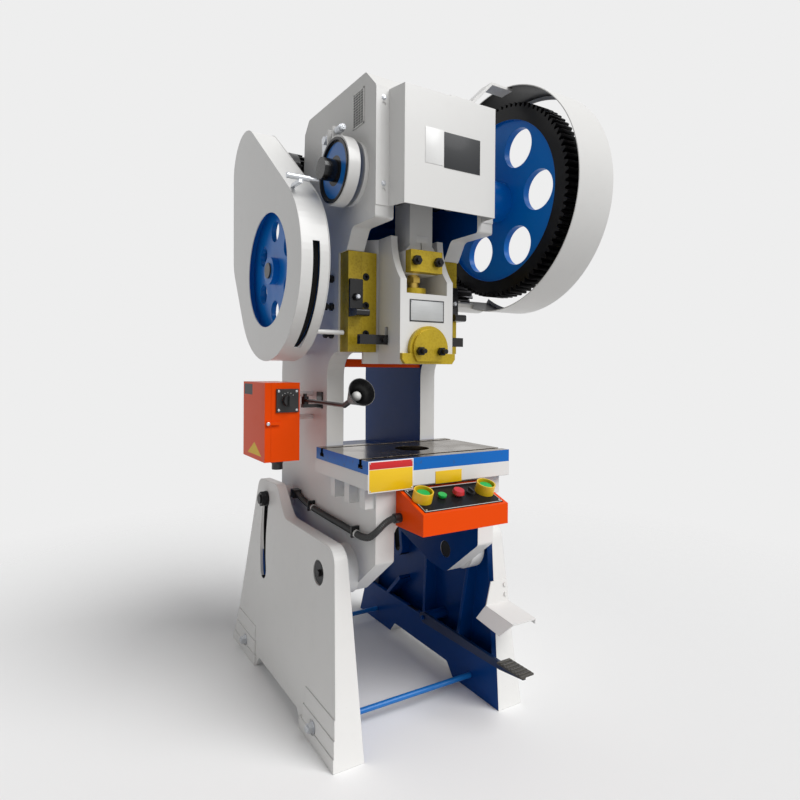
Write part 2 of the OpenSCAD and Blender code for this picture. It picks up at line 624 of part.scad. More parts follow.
rod_x_half = 46;
foot_x = 64;
foot_low = ball_z + 101;
foot_high = foot_low + 96;
module connecting_rod() on_press() color(white) difference() {
    union() {
        intersection() {
            rod_x(-web_x0 + 4, web_x0 - 4, crank_pin_d / 2 + 35, 0, pin_z);
            block(-web_x0, web_x0, -120, 120, pin_z - 120, pin_z - 0.2);
        }
        block(-rod_x_half, rod_x_half, -48, 48, foot_high - 10, pin_z - crank_pin_d / 2 - 10);
        rotate([90, 0, 0]) translate([0, 0, -48]) linear_extrude(98) polygon([[-foot_x, foot_low],
            [foot_x, foot_low], [foot_x, foot_high - 22], [rod_x_half, foot_high], [-rod_x_half, foot_high],
            [-foot_x, foot_high - 22]]);
    }
    rod_x(-web_x0, web_x0, crank_pin_d / 2 + running, 0, pin_z);
    rod_z(foot_low - 1, foot_low + 180, screw_d / 2 + slack, 0, 0);
    block(-2, 2, -60, 0, foot_low - 1, foot_high + 30);
    for (x = [-clamp_bolt_x, clamp_bolt_x]) rod_y(-60, 30, 8 + slack, x, clamp_z);
    for (y = [-cap_bolt_y, cap_bolt_y]) rod_z(pin_z - 40, pin_z + 1, 8 + slack, 0, y);
}
cap_bolt_y = crank_pin_d / 2 + 18;
module rod_cap() on_press() color(white) {
    difference() {
        intersection() {
            rod_x(-web_x0 + 4, web_x0 - 4, crank_pin_d / 2 + 35, 0, pin_z);
            block(-web_x0, web_x0, -120, 120, pin_z + 0.2, pin_z + 120);
        }
        rod_x(-web_x0, web_x0, crank_pin_d / 2 + running, 0, pin_z);
        for (y = [-cap_bolt_y, cap_bolt_y]) {
            rod_z(pin_z - 1, pin_z + 90, 8 + slack, 0, y);
            rod_z(pin_z + 26, pin_z + 120, 15, 0, y);
        }
    }
    for (y = [-cap_bolt_y, cap_bolt_y]) {
        rod_z(pin_z - 38, pin_z + 27, 8, 0, y);
        translate([0, y, pin_z + 26.2]) cylinder(h = 12, r = 13, $fn = 6);
    }
}
clamp_bolt_x = 44;
clamp_z = foot_low + 37;
module clamp_block() on_press() color(gold) difference() {
    block(-foot_x, foot_x, -84, -50.3, foot_low, foot_low + 74);
    for (x = [-clamp_bolt_x, clamp_bolt_x]) rod_y(-90, -40, 8 + slack, x, clamp_z);
}
module clamp_bolts() on_press() color(dark) for (x = [-clamp_bolt_x, clamp_bolt_x]) {
    rod_y(-108, 28, 8, x, clamp_z);
    hex_y(-99, -84.3, 17, x, clamp_z);
}
module ball_screw() on_press() color(steel) {
    translate([0, 0, ball_z]) sphere(d = ball_d);
    rod_z(ball_z + 10, foot_low + 176, screw_d / 2, 0, 0);
    translate([0, 0, foot_low - 26]) cylinder(h = 18, r = screw_d / 2 + 6, $fn = 6);
}
// The rod stays upright on its way round, so the ball needs room behind its place.
swing = throw + 0.5;
lift = 0.211 * throw + 0.6;
module way_section() polygon([for (s = [1, -1]) each let (h = [[ram_x, -ram_front], [ram_x, way_y - way_root],
        [way_x, way_y - way_tip], [way_x, way_y + way_tip], [ram_x, way_y + way_root]])
    s > 0 ? h : [for (i = [4 : -1 : 0]) [-h[i][0], h[i][1]]]]);
module long_hole(z0, z1, r) {
    rod_z(z0, z1, r, 0, 0);
    rod_z(z0, z1, r, 0, swing);
    block(-r, r, 0, swing, z0, z1);
}
bar_h = 32;
bar_w = 20;
bar_lift = 28;
bar_z = ram_z + 65;
clamp_top = 57;
horn_r = 232;
module ram() on_press() color(white) difference() {
    translate([0, 0, ram_z]) linear_extrude(ram_top - ram_z) way_section();
    block(-ram_x + ram_wall, ram_x - ram_wall, -ram_front - 1, way_y - 4, window_z, ram_top + 1);
    rod_x(-ram_x - 1, ram_x + 1, horn_r, -horn_r - 26, ram_top + 5);
    long_hole(ball_z - ball_d / 2 - lift, window_z + 1, ball_d / 2 + 0.6);
    rod_z(ram_z - 1, bar_z, shank_d / 2, 0, 0);
    block(-ram_x - 60, ram_x + 60, -bar_w / 2 - 0.3, bar_w / 2 + 0.3, bar_z - 0.3,
        bar_z + bar_h + bar_lift + 0.5);
    block(-60, 60, -ram_front - 1, 0, ram_z - 1, ram_z + clamp_top);
    for (x = [-shank_nut_x, shank_nut_x]) rod_y(-1, 40, 8 + slack, x, shank_nut_z);
}
// The cap closes over the top of the ball and leaves room for its way.
module ball_cap() on_press() color(gold) {
    recess_top = ball_z + ball_d / 2 + lift;
    difference() {
        long_hole(window_z + 0.3, window_z + 26, 45);
        long_hole(window_z - 1, recess_top, ball_d / 2 + 1.5);
        long_hole(window_z, window_z + 30, screw_d / 2 + 1);
    }
    for (x = [-37, 37]) translate([x, -6, window_z + 25.5]) cylinder(h = 5.5, r = 7, $fn = 6);
}
shank_nut_x = 42;
shank_nut_z = ram_z + 42;
clamp_face = 15;
module shank_clamp() on_press() color(gold) difference() {
    union() {
        block(-59.7, 59.7, -ram_front - 1, -0.3, ram_z, ram_z + clamp_top - 0.3);
        rotate([90, 0, 0]) translate([0, 0, ram_front + 0.3]) linear_extrude(clamp_face) union() {
            intersection() {
                translate([0, ram_z + 50]) circle(r = 77);
                translate([-90, ram_z]) square([180, 200]);
            }
            polygon([[-ram_x + 12, ram_z], [ram_x - 12, ram_z], [ram_x, ram_z + 16], [ram_x, ram_z + 35],
                [-ram_x, ram_z + 35], [-ram_x, ram_z + 16]]);
        }
        rotate([90, 0, 0]) translate([0, 0, ram_front + clamp_face]) linear_extrude(7) intersection() {
            translate([0, ram_z + 50]) circle(r = 66);
            translate([-90, ram_z + 8]) square([180, 200]);
        }
    }
    rod_z(ram_z - 1, ram_z + 70, shank_d / 2, 0, 0);
    for (x = [-shank_nut_x, shank_nut_x]) rod_y(-ram_front - 60, 5, 8 + slack, x, shank_nut_z);
}
module shank_clamp_nuts() on_press() color(dark) for (x = [-shank_nut_x, shank_nut_x]) {
    face = -ram_front - clamp_face - 7;
    rod_y(face - 32, 38, 8, x, shank_nut_z);
    hex_y(face - 14, face - 0.3, 15, x, shank_nut_z);
}
module knockout_bar() on_press() color(dark) {
    block(-214, 214, -bar_w / 2, bar_w / 2, bar_z, bar_z + bar_h);
    hex_y(-bar_w / 2 - 12, -bar_w / 2 + 1, 10, -ram_x - 16, bar_z + bar_h / 2);
}

// Geared drive
web_hole_r = (gear_r - 54 + hub_r) / 2 + 20;
module bull_gear() on_press() color(blue) difference() {
    union() {
        yz(gear_x, gear_x + gear_w) translate([0, crank_z]) difference() {
            polygon(gear_outline(gear_teeth, tooth_m, mesh_dir));
            circle(r = gear_r - 54);
        }
        yz(gear_x + 12, gear_x + 38) translate([0, crank_z]) difference() {
            circle(r = gear_r - 53);
            for (k = [0 : 5]) rotate(k * 60) translate([web_hole_r, 0]) circle(d = web_hole_d);
        }
        rod_x(gear_x - 70, gear_x + gear_w + 10, hub_r, 0, crank_z);
    }
    rod_x(gear_x - 71, gear_x + gear_w + 11, journal_d / 2 + running, 0, crank_z);
}
module pinion_shaft() on_press() color(steel) {
    rod_x(wheel_x - 6, gear_x + gear_w + 12, shaft_d / 2, shaft_y, shaft_z);
    yz(gear_x - 4, gear_x + gear_w + 4) translate([shaft_y, shaft_z])
        polygon(gear_outline(pinion_teeth, tooth_m, mesh_dir + 180 + 180 / pinion_teeth));
}
groove_w = 15;
groove_d = 13;
pitch = 22;
function groove_x(i) = wheel_x + flywheel_w / 2 + (i - (belts - 1) / 2) * pitch;
module flywheel() on_press() color(blue) difference() {
    union() {
        difference() {
            rod_x(wheel_x, wheel_x + flywheel_w, flywheel_d / 2, shaft_y, shaft_z);
            rod_x(wheel_x - 1, wheel_x + 24, flywheel_d / 2 - 48, shaft_y, shaft_z);
            rod_x(wheel_x + 42, wheel_x + flywheel_w + 1, flywheel_d / 2 - 48, shaft_y, shaft_z);
        }
        rod_x(wheel_x, wheel_x + flywheel_w + 8, 48, shaft_y, shaft_z);
    }
    for (i = [0 : belts - 1]) difference() {
        rod_x(groove_x(i) - groove_w / 2, groove_x(i) + groove_w / 2, flywheel_d / 2 + 1, shaft_y, shaft_z);
        rod_x(groove_x(i) - groove_w, groove_x(i) + groove_w, flywheel_d / 2 - groove_d, shaft_y, shaft_z);
    }
    for (k = [0 : 5]) yz(wheel_x, wheel_x + 60) translate([shaft_y, shaft_z]) rotate(30 + k * 60)
        translate([142, 0]) circle(r = 38);
    rod_x(wheel_x - 1, wheel_x + 90, shaft_d / 2 + running, shaft_y, shaft_z);
}
motor_x0 = -262;
motor_x1 = 70;
motor_shaft_r = 14;
module motor_pulley() on_press() color(steel) difference() {
    union() {
        rod_x(wheel_x, wheel_x + flywheel_w, pulley_d / 2, motor_y, motor_z);
        rod_x(wheel_x + 1, motor_x0 + 60, motor_shaft_r, motor_y, motor_z);
    }
    for (i = [0 : belts - 1]) difference() {
        rod_x(groove_x(i) - groove_w / 2, groove_x(i) + groove_w / 2, pulley_d / 2 + 1, motor_y, motor_z);
        rod_x(groove_x(i) - groove_w, groove_x(i) + groove_w, pulley_d / 2 - groove_d, motor_y, motor_z);
    }
}
module drive_belts() on_press() color(dark) for (i = [0 : belts - 1]) {
    r1 = flywheel_d / 2 - 2;
    r2 = pulley_d / 2 - 2;
    loop = [[shaft_y, shaft_z, r1], [motor_y, motor_z, r2]];
    yz(groove_x(i) - groove_w / 2 + 0.3, groove_x(i) + groove_w / 2 - 0.3) difference() {
        polygon(wrap(loop, 0, 5));
        polygon(wrap(loop, groove_d - 3.5, 5));
    }
}
module motor_housing() on_press() color(dark) difference() {
    union() {
        rod_x(motor_x0, motor_x1, motor_d / 2 - 14, motor_y, motor_z);
        rod_x(motor_x0, motor_x0 + 26, motor_d / 2 - 2, motor_y, motor_z);
        rod_x(motor_x1 - 80, motor_x1, motor_d / 2, motor_y, motor_z);
        for (k = [0 : 23]) translate([0, motor_y, motor_z]) rotate([k * 15, 0, 0])
            block(motor_x0 + 20, motor_x1 - 70, -1.6, 1.6, motor_d / 2 - 16, motor_d / 2 - 2);
        both_feet() block(-22, 22, motor_plate_y + 12.3, motor_y, motor_z - 92, motor_z + 92);
        block(-150, -50, motor_y + 70, motor_y + 124, motor_z - 48, motor_z + 48);
    }
    rod_x(motor_x0 - 1, motor_x0 + 61, motor_shaft_r + running, motor_y, motor_z);
    for (z = [motor_z - 156, motor_z + 76]) both_feet()
        block(-30, 30, motor_plate_y + 27, motor_y, z, z + 80);
}
module both_feet() for (x = [motor_x0 + 80, motor_x1 - 110]) translate([x, 0, 0]) children();
motor_plate_y = 428;
module motor_plate() on_press() color(white) {
    block(-inner_x + 8, inner_x - 8, motor_plate_y + 0.3, motor_plate_y + 12, motor_z - 170, motor_z + 110);
    for (x = [-120, 100]) for (z = [motor_z - 148]) {
        translate([x, motor_plate_y + 12, z]) rotate([-90, 0, 0]) cylinder(h = 8, r = 12, $fn = 6);
    }
}
module shaft_bearings() on_press() color(white) both_sides() difference() {
    union() {
        rod_x(frame_x + 0.3, frame_x + 18, 78, shaft_y, shaft_z);
        rod_x(frame_x + 17, frame_x + 46, 56, shaft_y, shaft_z);
        for (a = [45 : 90 : 315])
            hex_x(frame_x + 17, frame_x + 27, 10, shaft_y + 66 * cos(a), shaft_z + 66 * sin(a));
    }
    rod_x(frame_x - 1, frame_x + 50, shaft_d / 2 + running, shaft_y, shaft_z);
}

// Guards
belt_guard_r = flywheel_d / 2 + 33;
motor_guard_r = pulley_d / 2 + 81;
belt_circles = [[shaft_y, shaft_z, belt_guard_r], [motor_y, 1640, motor_guard_r - 5],
    [motor_y, motor_z, motor_guard_r]];
module belt_guard() on_press() color(white) difference() {
    yz(belt_guard_x, belt_guard_x + belt_guard_w) polygon(wrap(belt_circles, 0));
    yz(belt_guard_x + sheet, belt_guard_x + belt_guard_w - sheet) polygon(wrap(belt_circles, sheet));
    yz(belt_guard_x + sheet, belt_guard_x + belt_guard_w + 1) polygon(wrap(belt_circles, 16));
    rod_x(belt_guard_x - 1, belt_guard_x + sheet + 1, 200, shaft_y, shaft_z);
    intersection() {
        yz(belt_guard_x + 40, belt_guard_x + 64) translate([shaft_y, shaft_z]) polygon(concat([[0, 0]],
            [for (a = [170 : 10 : 248]) 400 * [cos(a), sin(a)]]));
        block(-500, 0, -200, 400, 1200, 1700);
    }
}
// The ring guard swells where the pinion meets the gear.
module gear_guard_2d(off) {
    translate([0, crank_z]) circle(r = gear_guard_r - off);
    translate([shaft_y, shaft_z]) circle(r = pinion_r + 44 - off);
}
gear_guard_lip = 16;
module gear_guard() on_press() color(white) difference() {
    yz(gear_guard_x, gear_guard_x + gear_guard_w) gear_guard_2d(0);
    yz(gear_guard_x - 1, gear_guard_x + gear_guard_w - sheet) gear_guard_2d(sheet);
    yz(gear_guard_x, gear_guard_x + gear_guard_w + 1) gear_guard_2d(gear_guard_lip);
}
module guard_brackets() on_press() color(white) {
    // Stays from the right cheek into the gear guard's band
    band_in = gear_guard_r - sheet - 0.4;
    for (a = [8, -20, -70]) translate([0, 0, crank_z]) rotate([a, 0, 0])
        block(frame_x + 0.3, gear_guard_x + 10, band_in - 14, band_in, -14, 14);
    // Bent bar from the head's roof into the gear guard's band
    seat = head_top - 7.5;
    bar_rear = 76;
    lip = crank_z + sqrt(pow(band_in, 2) - pow(bar_rear, 2)) - 9;
    translate([0, 56 - bar_rear, 0]) rotate([90, 0, 0]) linear_extrude(56)
        polygon([[100, seat], [inner_x + 30, seat], [inner_x + 120, lip - 1], [gear_guard_x + 20, lip - 1],
            [gear_guard_x + 20, lip + 9], [inner_x + 116, lip + 9], [inner_x + 26, seat + 10],
            [100, seat + 10]]);
    // Stays from the left cheek to the belt guard's lip
    stay_r = belt_guard_r - 11;
    for (p = [shaft_at + stay_r * [cos(226.3), sin(226.3)], shaft_at + stay_r * [cos(293), sin(293)],
        [404, 1900]])
        rod_x(belt_guard_x + belt_guard_w + 0.3, -frame_x - 0.3, 8, p[0], p[1]);
    // Cabinet stays above the leg's reach
    for (z = stand_off_zs) rod_x(cabinet_x1 + 0.3, -frame_x - 0.3, 10, stand_off_y, z);
}
guard_low = head_low + 38;
guard_high = 2072;
guard_hook_zs = [1776, 2042];
module front_guard() on_press() color(white) {
    w = front_guard_w / 2;
    face = head_front - 78;
    difference() {
        union() {
            hat(w, face, 0);
            both_sides()
                block(w + 10 - sheet, frame_x, head_front - sheet, head_front - 0.3, guard_low, guard_high);
        }
        difference() {
            hat(w - sheet, face + sheet, -10);
            block(-w * 2, w * 2, face - 10, 0, guard_high - 14, 2200);
        }
        both_sides() for (z = guard_hook_zs) {
            rod_y(head_front - 10, head_front + 1, 5, frame_x - 28, z);
            rod_y(head_front - 10, head_front + 1, 7, frame_x - 28, z - 20);
        }
    }
}
module hat(w, face, low) intersection() {
    translate([0, 0, 1600]) linear_extrude(600) polygon([[-w - 10, head_front - 0.3], [-w, face],
        [w, face], [w + 10, head_front - 0.3]]);
    yz(-300, 300) polygon([[head_front, guard_low + low], [face, guard_low - 4 + low], [face, guard_high - 6],
        [head_front, guard_high]]);
}

// Electrics
cabinet_x0 = -450;
cabinet_x1 = -347;
cabinet_y = 180;
cabinet_z = 882;
module cabinet_body() on_press() color(orange) {
    t = 2;
    difference() {
        block(cabinet_x0, cabinet_x1, cabinet_y, cabinet_y + cabinet_d, cabinet_z, cabinet_z + cabinet_h);
        block(cabinet_x0 - 1, cabinet_x1 - t, cabinet_y + t, cabinet_y + cabinet_d - t, cabinet_z + t,
            cabinet_z + cabinet_h - t);
        rod_z(cabinet_z - 1, cabinet_z + t + 1, 16, gland_at[0], gland_at[1]);
        rod_y(cabinet_y - 1, cabinet_y + t + 1, 8 + running, switch_at[0], switch_at[1]);
    }
    for (z = [cabinet_z + 40, cabinet_z + cabinet_h - 76]) hinge_leaf(z, 0);
}
gland_at = [-405, 240];
switch_at = [-393, 1090];
hinge_y = cabinet_y + cabinet_d + 5;
// A hinge barrel with its leaf: side 0 is on the cabinet, side 1 on the door.
module hinge_leaf(z, side) {
    z0 = z + side * 18.2;
    rod_z(z0, z0 + 18, 4.5, cabinet_x0, hinge_y);
    if (side == 0) block(cabinet_x0, cabinet_x0 + 16, hinge_y - 5, hinge_y - 2, z0, z0 + 18);
    if (side == 1) block(cabinet_x0 - 16, cabinet_x0, hinge_y - 5, hinge_y - 2, z0, z0 + 18);
}
module cabinet_door() on_press() color(orange) {
    t = 2;
    x0 = cabinet_x0 - 22;
    difference() {
        block(x0, cabinet_x0 - 0.4, cabinet_y, cabinet_y + cabinet_d, cabinet_z, cabinet_z + cabinet_h);
        block(x0 + t, cabinet_x0 + 1, cabinet_y + t, cabinet_y + cabinet_d - t, cabinet_z + t,
            cabinet_z + cabinet_h - t);
    }
    for (z = [cabinet_z + 40, cabinet_z + cabinet_h - 76]) hinge_leaf(z, 1);
    block(x0 + 6, cabinet_x0 - 1, cabinet_y - 5, cabinet_y + 1, cabinet_z + 122, cabinet_z + 140);
    block(x0 + 6, cabinet_x0 + 30, cabinet_y - 8, cabinet_y - 4, cabinet_z + 126, cabinet_z + 136);
}
module main_switch() on_press() color(dark) {
    rod_y(cabinet_y - 12, cabinet_y + 12, 8, switch_at[0], switch_at[1]);
    rod_y(cabinet_y - 26, cabinet_y - 7, 19, switch_at[0], switch_at[1]);
    block(switch_at[0] - 5, switch_at[0] + 5, cabinet_y - 36, cabinet_y - 25, switch_at[1] - 18,
        switch_at[1] + 18);
}
// The cable gland under the cabinet and the plate behind the main switch
module cabinet_fittings() on_press() color(dark) {
    difference() {
        union() {
            rod_z(cabinet_z - 12, cabinet_z + 12, 15.7, gland_at[0], gland_at[1]);
            translate([gland_at[0], gland_at[1], cabinet_z - 12]) cylinder(h = 11.7, r = 23, $fn = 6);
            rod_z(cabinet_z - 34, cabinet_z - 11, 19, gland_at[0], gland_at[1]);
        }
        rod_z(cabinet_z - 40, cabinet_z + 20, 10, gland_at[0], gland_at[1]);
    }
    difference() {
        block(switch_at[0] - 40, switch_at[0] + 40, cabinet_y - 6, cabinet_y - 0.3, switch_at[1] - 40,
            switch_at[1] + 40);
        rod_y(cabinet_y - 7, cabinet_y, 19.5, switch_at[0], switch_at[1]);
    }
}
// The position sensor looks at the crankshaft's end from a foot on the belt guard.
module position_sensor() on_press() color(steel) {
    y = 14;
    z = crank_z - 36;
    rod_x(drum_x - 74, drum_x - 43, 6, y, z);
    rod_x(drum_x - 150, drum_x - 73, 9, y, z);
    band_y = shaft_y - sqrt(pow(belt_circles[0][2], 2) - pow(z - 18 - shaft_z, 2));
    block(drum_x - 112, drum_x - 100, 8, band_y - 0.3, z - 18, z - 7);
}

box_front = -312;
box_back = -160.3;
box_low = 712;
box_edge = 64;
box_high = 826;
slope = atan2(box_high - box_low - box_edge, box_back - 12 - box_front);
module on_slope(x, d) translate([x, box_front, box_low + box_edge]) rotate([slope, 0, 0])
    translate([0, d, 0]) children();
palm_x = box_w / 2 - 41;
panel_x = box_w / 2 - 13;
button_d = 74;
module control_box() on_press() color(orange) difference() {
    union() {
        yz(-box_w / 2, box_w / 2) polygon([[box_front, box_low], [box_back, box_low], [box_back, box_high],
            [box_back - 12, box_high], [box_front, box_low + box_edge]]);
        on_slope(0, 0) block(-panel_x, panel_x, 10, 138, -1, 2);
    }
    yz(-box_w / 2 + 2, box_w / 2 - 2) polygon([[box_front + 2, box_low + 2], [box_back - 2, box_low + 2],
        [box_back - 2, box_high - 6], [box_back - 12, box_high - 6],
        [box_front + 2, box_low + box_edge - 6]]);
    for (b = [[-palm_x, 14], [palm_x, 14], [start_x, 8], [stop_x0, 9], [mode_x, 8]])
        on_slope(b[0], button_d) translate([0, 0, -30]) cylinder(h = 40, r = b[1] + running);
    rod_x(-box_w / 2 - 1, -box_w / 2 + 3, 12 + slack, hose_gland_y, hose_gland_z);
}
start_x = -47 / 122 * palm_x;
stop_x0 = 15 / 122 * palm_x;
mode_x = 66 / 122 * palm_x;
module button_collars() on_press() color([0.95, 0.78, 0.05]) for (x = [-palm_x, palm_x]) on_slope(x, button_d)
    difference() {
        translate([0, 0, 2.3]) cylinder(h = 33, r = 31);
        translate([0, 0, 2]) cylinder(h = 40, r = 27);
    }
module palm(x) on_press() color([0.05, 0.55, 0.25]) on_slope(x, button_d) {
    translate([0, 0, -26]) cylinder(h = 42, r = 14);
    translate([0, 0, 14]) cylinder(h = 14, r1 = 23, r2 = 20);
}
module left_palm_button() palm(-palm_x);
module right_palm_button() palm(palm_x);
module start_button() on_press() color([0.03, 0.5, 0.25]) on_slope(start_x, button_d) {
    translate([0, 0, -26]) cylinder(h = 34, r = 8);
    translate([0, 0, 8]) cylinder(h = 6, r = 14);
}
module stop_button() on_press() color([0.8, 0.04, 0.05]) on_slope(stop_x0, button_d) {
    translate([0, 0, -26]) cylinder(h = 38, r = 9);
    translate([0, 0, 11]) cylinder(h = 12, r1 = 20, r2 = 17);
}
module mode_switch() on_press() color(dark) on_slope(mode_x, button_d) {
    translate([0, 0, -26]) cylinder(h = 32, r = 8);
    translate([0, 0, 3]) cylinder(h = 8, r = 14);
    translate([-3, -13, 10]) cube([6, 26, 10]);
}

// Control hose, clipped along the left cheek
hose_gland_y = -186;
hose_gland_z = 742;
hose_x = -frame_x - hose_d / 2 - 4;
hose_start_x = -box_w / 2 - 23;
hose_route = [[hose_start_x, -186, 742], [hose_start_x - 4, -186, 742], [hose_start_x - 16, -186, 738],
    [-216, -185, 731], [-230, -181, 718], [-241, -172, 703], [-248, -158, 690], [hose_x, -140, 681],
    [hose_x, -118, 676], [hose_x, -90, 673], [hose_x, -50, 674], [hose_x, 0, 676], [hose_x, 60, 678],
    [hose_x, 120, 679], [hose_x, 180, 681], [hose_x, 240, 683], [hose_x, 301, 686], [hose_x, 350, 692],
    [hose_x, 392, 700], [hose_x, 425, 708], [hose_x, 430, 708]];
function ring(p, t, r, n) =
    let (side = unit(cross(t, abs(t[2]) < 0.9 ? [0, 0, 1] : [1, 0, 0])), up = cross(side, t))
    [for (k = [0 : n - 1]) p + r * (side * cos(360 * k / n) + up * sin(360 * k / n))];
function tangent(p, i) = unit(p[min(i + 1, len(p) - 1)] - p[max(i - 1, 0)]);
module tube(p, r, n = 12) {
    m = len(p);
    polyhedron([for (i = [0 : m - 1]) each ring(p[i], tangent(p, i), r, n)],
        concat([[for (k = [0 : n - 1]) k]], [for (i = [0 : m - 2]) for (k = [0 : n - 1])
            [i * n + k, (i + 1) * n + k, (i + 1) * n + (k + 1) % n, i * n + (k + 1) % n]],
            [[for (k = [n - 1 : -1 : 0]) (m - 1) * n + k]]));
}
module control_hose() on_press() color(dark) tube(hose_route, hose_d / 2);
module hose_fittings() on_press() color(dark) {
    rod_x(-box_w / 2 - 22.7, -box_w / 2 - 0.3, 15, hose_gland_y, hose_gland_z);
    rod_x(-box_w / 2 - 1, -box_w / 2 + 12, 12, hose_gland_y, hose_gland_z);
    block(-frame_x - 30, -frame_x - 0.3, 430.4, 470, 692, 724);
    for (y = [-50, 301]) let (z = y < 0 ? 674 : 686) difference() {
        block(-frame_x - 28.5, -frame_x - 0.3, y - 4, y + 4, z - 14, z + 22);
        rod_y(y - 10, y + 10, hose_d / 2 + 1, hose_x, z);
    }
}

// Pivot pins, locking bolts and the work lamp
// Each pivot pin ends in a cap that fills the leg's recess, with a grease plug on it.
module pivot_pins() on_press() color(steel) both_sides() {
    face = leg_face(pivot_z);
    rod_x(inner_x + 2, face - 9, pivot_d / 2, pivot_y, pivot_z);
    rod_x(face - 9.7, face - 2, pivot_d / 2 + 7, pivot_y, pivot_z);
    hex_x(face - 3, face + 8, 12, pivot_y - 10, pivot_z + 2);
}
module tilt_lock_bolts() on_press() color(dark) both_sides() {
    out = lock_face_x + 0.3;
    rod_x(inner_x + 2, out + 34, lock_d / 2, lock_y, lock_z);
    rod_x(out, out + 6, lock_washer_r, lock_y, lock_z);
    hex_x(out + 6, out + 28, lock_washer_r - 1, lock_y, lock_z);
}
lamp_y = 255;
lamp_z = 1085;
lamp_x = -296;
module lamp_bracket() on_press() color(dark) {
    block(-frame_x - 6, -frame_x - 0.3, lamp_y - 22, lamp_y + 22, lamp_z - 30, lamp_z + 30);
    block(lamp_x - 12, -frame_x - 5, lamp_y - 9, lamp_y + 9, lamp_z - 26, lamp_z - 14);
    rod_z(lamp_z - 20, lamp_z + 24, 7, lamp_x, lamp_y);
}
module lamp_arm() on_press() color(dark) difference() {
    union() {
        rod_z(lamp_z - 13.7, lamp_z + 14, 13, lamp_x, lamp_y);
        rod_y(lamp_y - 320, lamp_y - 11, 7, lamp_x, lamp_z);
        translate([lamp_x, lamp_y - 318, lamp_z]) rotate([68, 0, 0]) {
            cylinder(h = 60, r = 9);
            translate([0, 0, 55]) cylinder(h = 70, r1 = 16, r2 = 44);
        }
    }
    rod_z(lamp_z - 20, lamp_z + 20, 7 + running, lamp_x, lamp_y);
    translate([lamp_x, lamp_y - 318, lamp_z]) rotate([68, 0, 0]) translate([0, 0, 60])
        cylinder(h = 66, r1 = 12, r2 = 42);
}

left_leg();
right_leg();
tie_rods();
tie_rod_nuts();
pedal_guard();
c_frame();
bolster_plate();
left_gib();
right_gib();
gib_bars();
gib_bolts();
front_guard();
knockout_stops();
crank_bushes();
brake_band();
brake_bracket();
brake_tensioner();
motor_housing();
motor_plate();
belt_guard();
gear_guard();
guard_brackets();
cabinet_body();
cabinet_fittings();
position_sensor();
control_box();
button_collars();
control_hose();
hose_fittings();
throat_bar();
pivot_pins();
tilt_lock_bolts();
shaft_bearings();
drive_belts();
lamp_bracket();
crankshaft();
brake_drum();
connecting_rod();
rod_cap();
clamp_block();
clamp_bolts();
ball_screw();
ram();
ball_cap();
shank_clamp();
shank_clamp_nuts();
knockout_bar();
bull_gear();
pinion_shaft();
flywheel();
motor_pulley();
foot_pedal();
left_palm_button();
right_palm_button();
start_button();
stop_button();
mode_switch();
main_switch();
cabinet_door();
lamp_arm();
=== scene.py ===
"""Dresses an open-back inclinable stamping press.

The castings get their sprayed enamel, the ways and the bolster their ground steel, and the guards, controls
and gears their own finishes. The pieces that are too slight for the solid model, such as sheet-metal screws,
bare plates, the louvre and the hose's ribs, are made here and ride on the bodies that carry them.
"""

from __future__ import annotations

import logging
import math
from collections.abc import Callable, Sequence
from dataclasses import dataclass, field
from enum import Enum
from functools import cached_property
from typing import ClassVar

import bmesh
import bpy
from mathutils import Matrix, Vector

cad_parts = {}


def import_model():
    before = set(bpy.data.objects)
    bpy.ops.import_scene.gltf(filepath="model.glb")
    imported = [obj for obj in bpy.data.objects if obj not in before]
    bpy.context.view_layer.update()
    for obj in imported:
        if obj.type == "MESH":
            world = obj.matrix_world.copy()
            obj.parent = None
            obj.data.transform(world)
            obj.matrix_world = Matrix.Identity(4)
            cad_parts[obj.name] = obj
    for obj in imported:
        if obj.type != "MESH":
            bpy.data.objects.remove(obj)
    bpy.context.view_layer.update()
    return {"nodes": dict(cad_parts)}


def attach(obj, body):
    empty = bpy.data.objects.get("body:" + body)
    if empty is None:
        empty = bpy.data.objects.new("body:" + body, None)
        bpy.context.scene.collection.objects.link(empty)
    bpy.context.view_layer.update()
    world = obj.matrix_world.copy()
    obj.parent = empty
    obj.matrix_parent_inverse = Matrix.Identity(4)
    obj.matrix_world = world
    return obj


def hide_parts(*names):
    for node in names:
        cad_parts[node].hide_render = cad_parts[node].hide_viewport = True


LOG = logging.getLogger("press")
MM = 0.001

Colour = tuple[float, float, float]
Point = tuple[float, float, float]
Socket = bpy.types.NodeSocket
Mask = Callable[["Bench"], Socket]
Inputs = dict[str | int, object]

RIGHT: Point = (1.0, 0.0, 0.0)
LEFT: Point = (-1.0, 0.0, 0.0)
REAR: Point = (0.0, 1.0, 0.0)
FRONT: Point = (0.0, -1.0, 0.0)
UP: Point = (0.0, 0.0, 1.0)
DOWN: Point = (0.0, 0.0, -1.0)
TO_FRONT: Point = (math.radians(90.0), 0.0, 0.0)

# Places that the colour zones are measured from, in metres from the anchor holes' centre
RAM_Y = 0.365  # the ram's axis lies this far to the front
CRANK_AXIS: Point = (0.0, -RAM_Y, 1.838)
WHEEL_AXIS: Point = (0.0, -0.0811, 1.545)
PIVOT_AXIS: Point = (0.0, 0.027 - RAM_Y, 0.538)
TILT_R = 0.540
LEG_RIM = 0.020


class Body(str, Enum):
    """The moving bodies that pieces made here ride on."""

    FRAME = "frame"
    ROD = "rod"
    RAM = "ram"
    PEDAL = "pedal"
    DOOR = "door"
    LAMP = "lamp"


class Slot(str, Enum):
    """The record's material slots, named for the pieces made here."""

    WHITE = "white_enamel"
    BLACK = "black_enamel"
    ZINC = "zinc_steel"
    OXIDE = "black_steel"
    RUBBER = "black_rubber"
    PLASTIC = "black_plastic"
    YELLOW = "yellow_plastic"


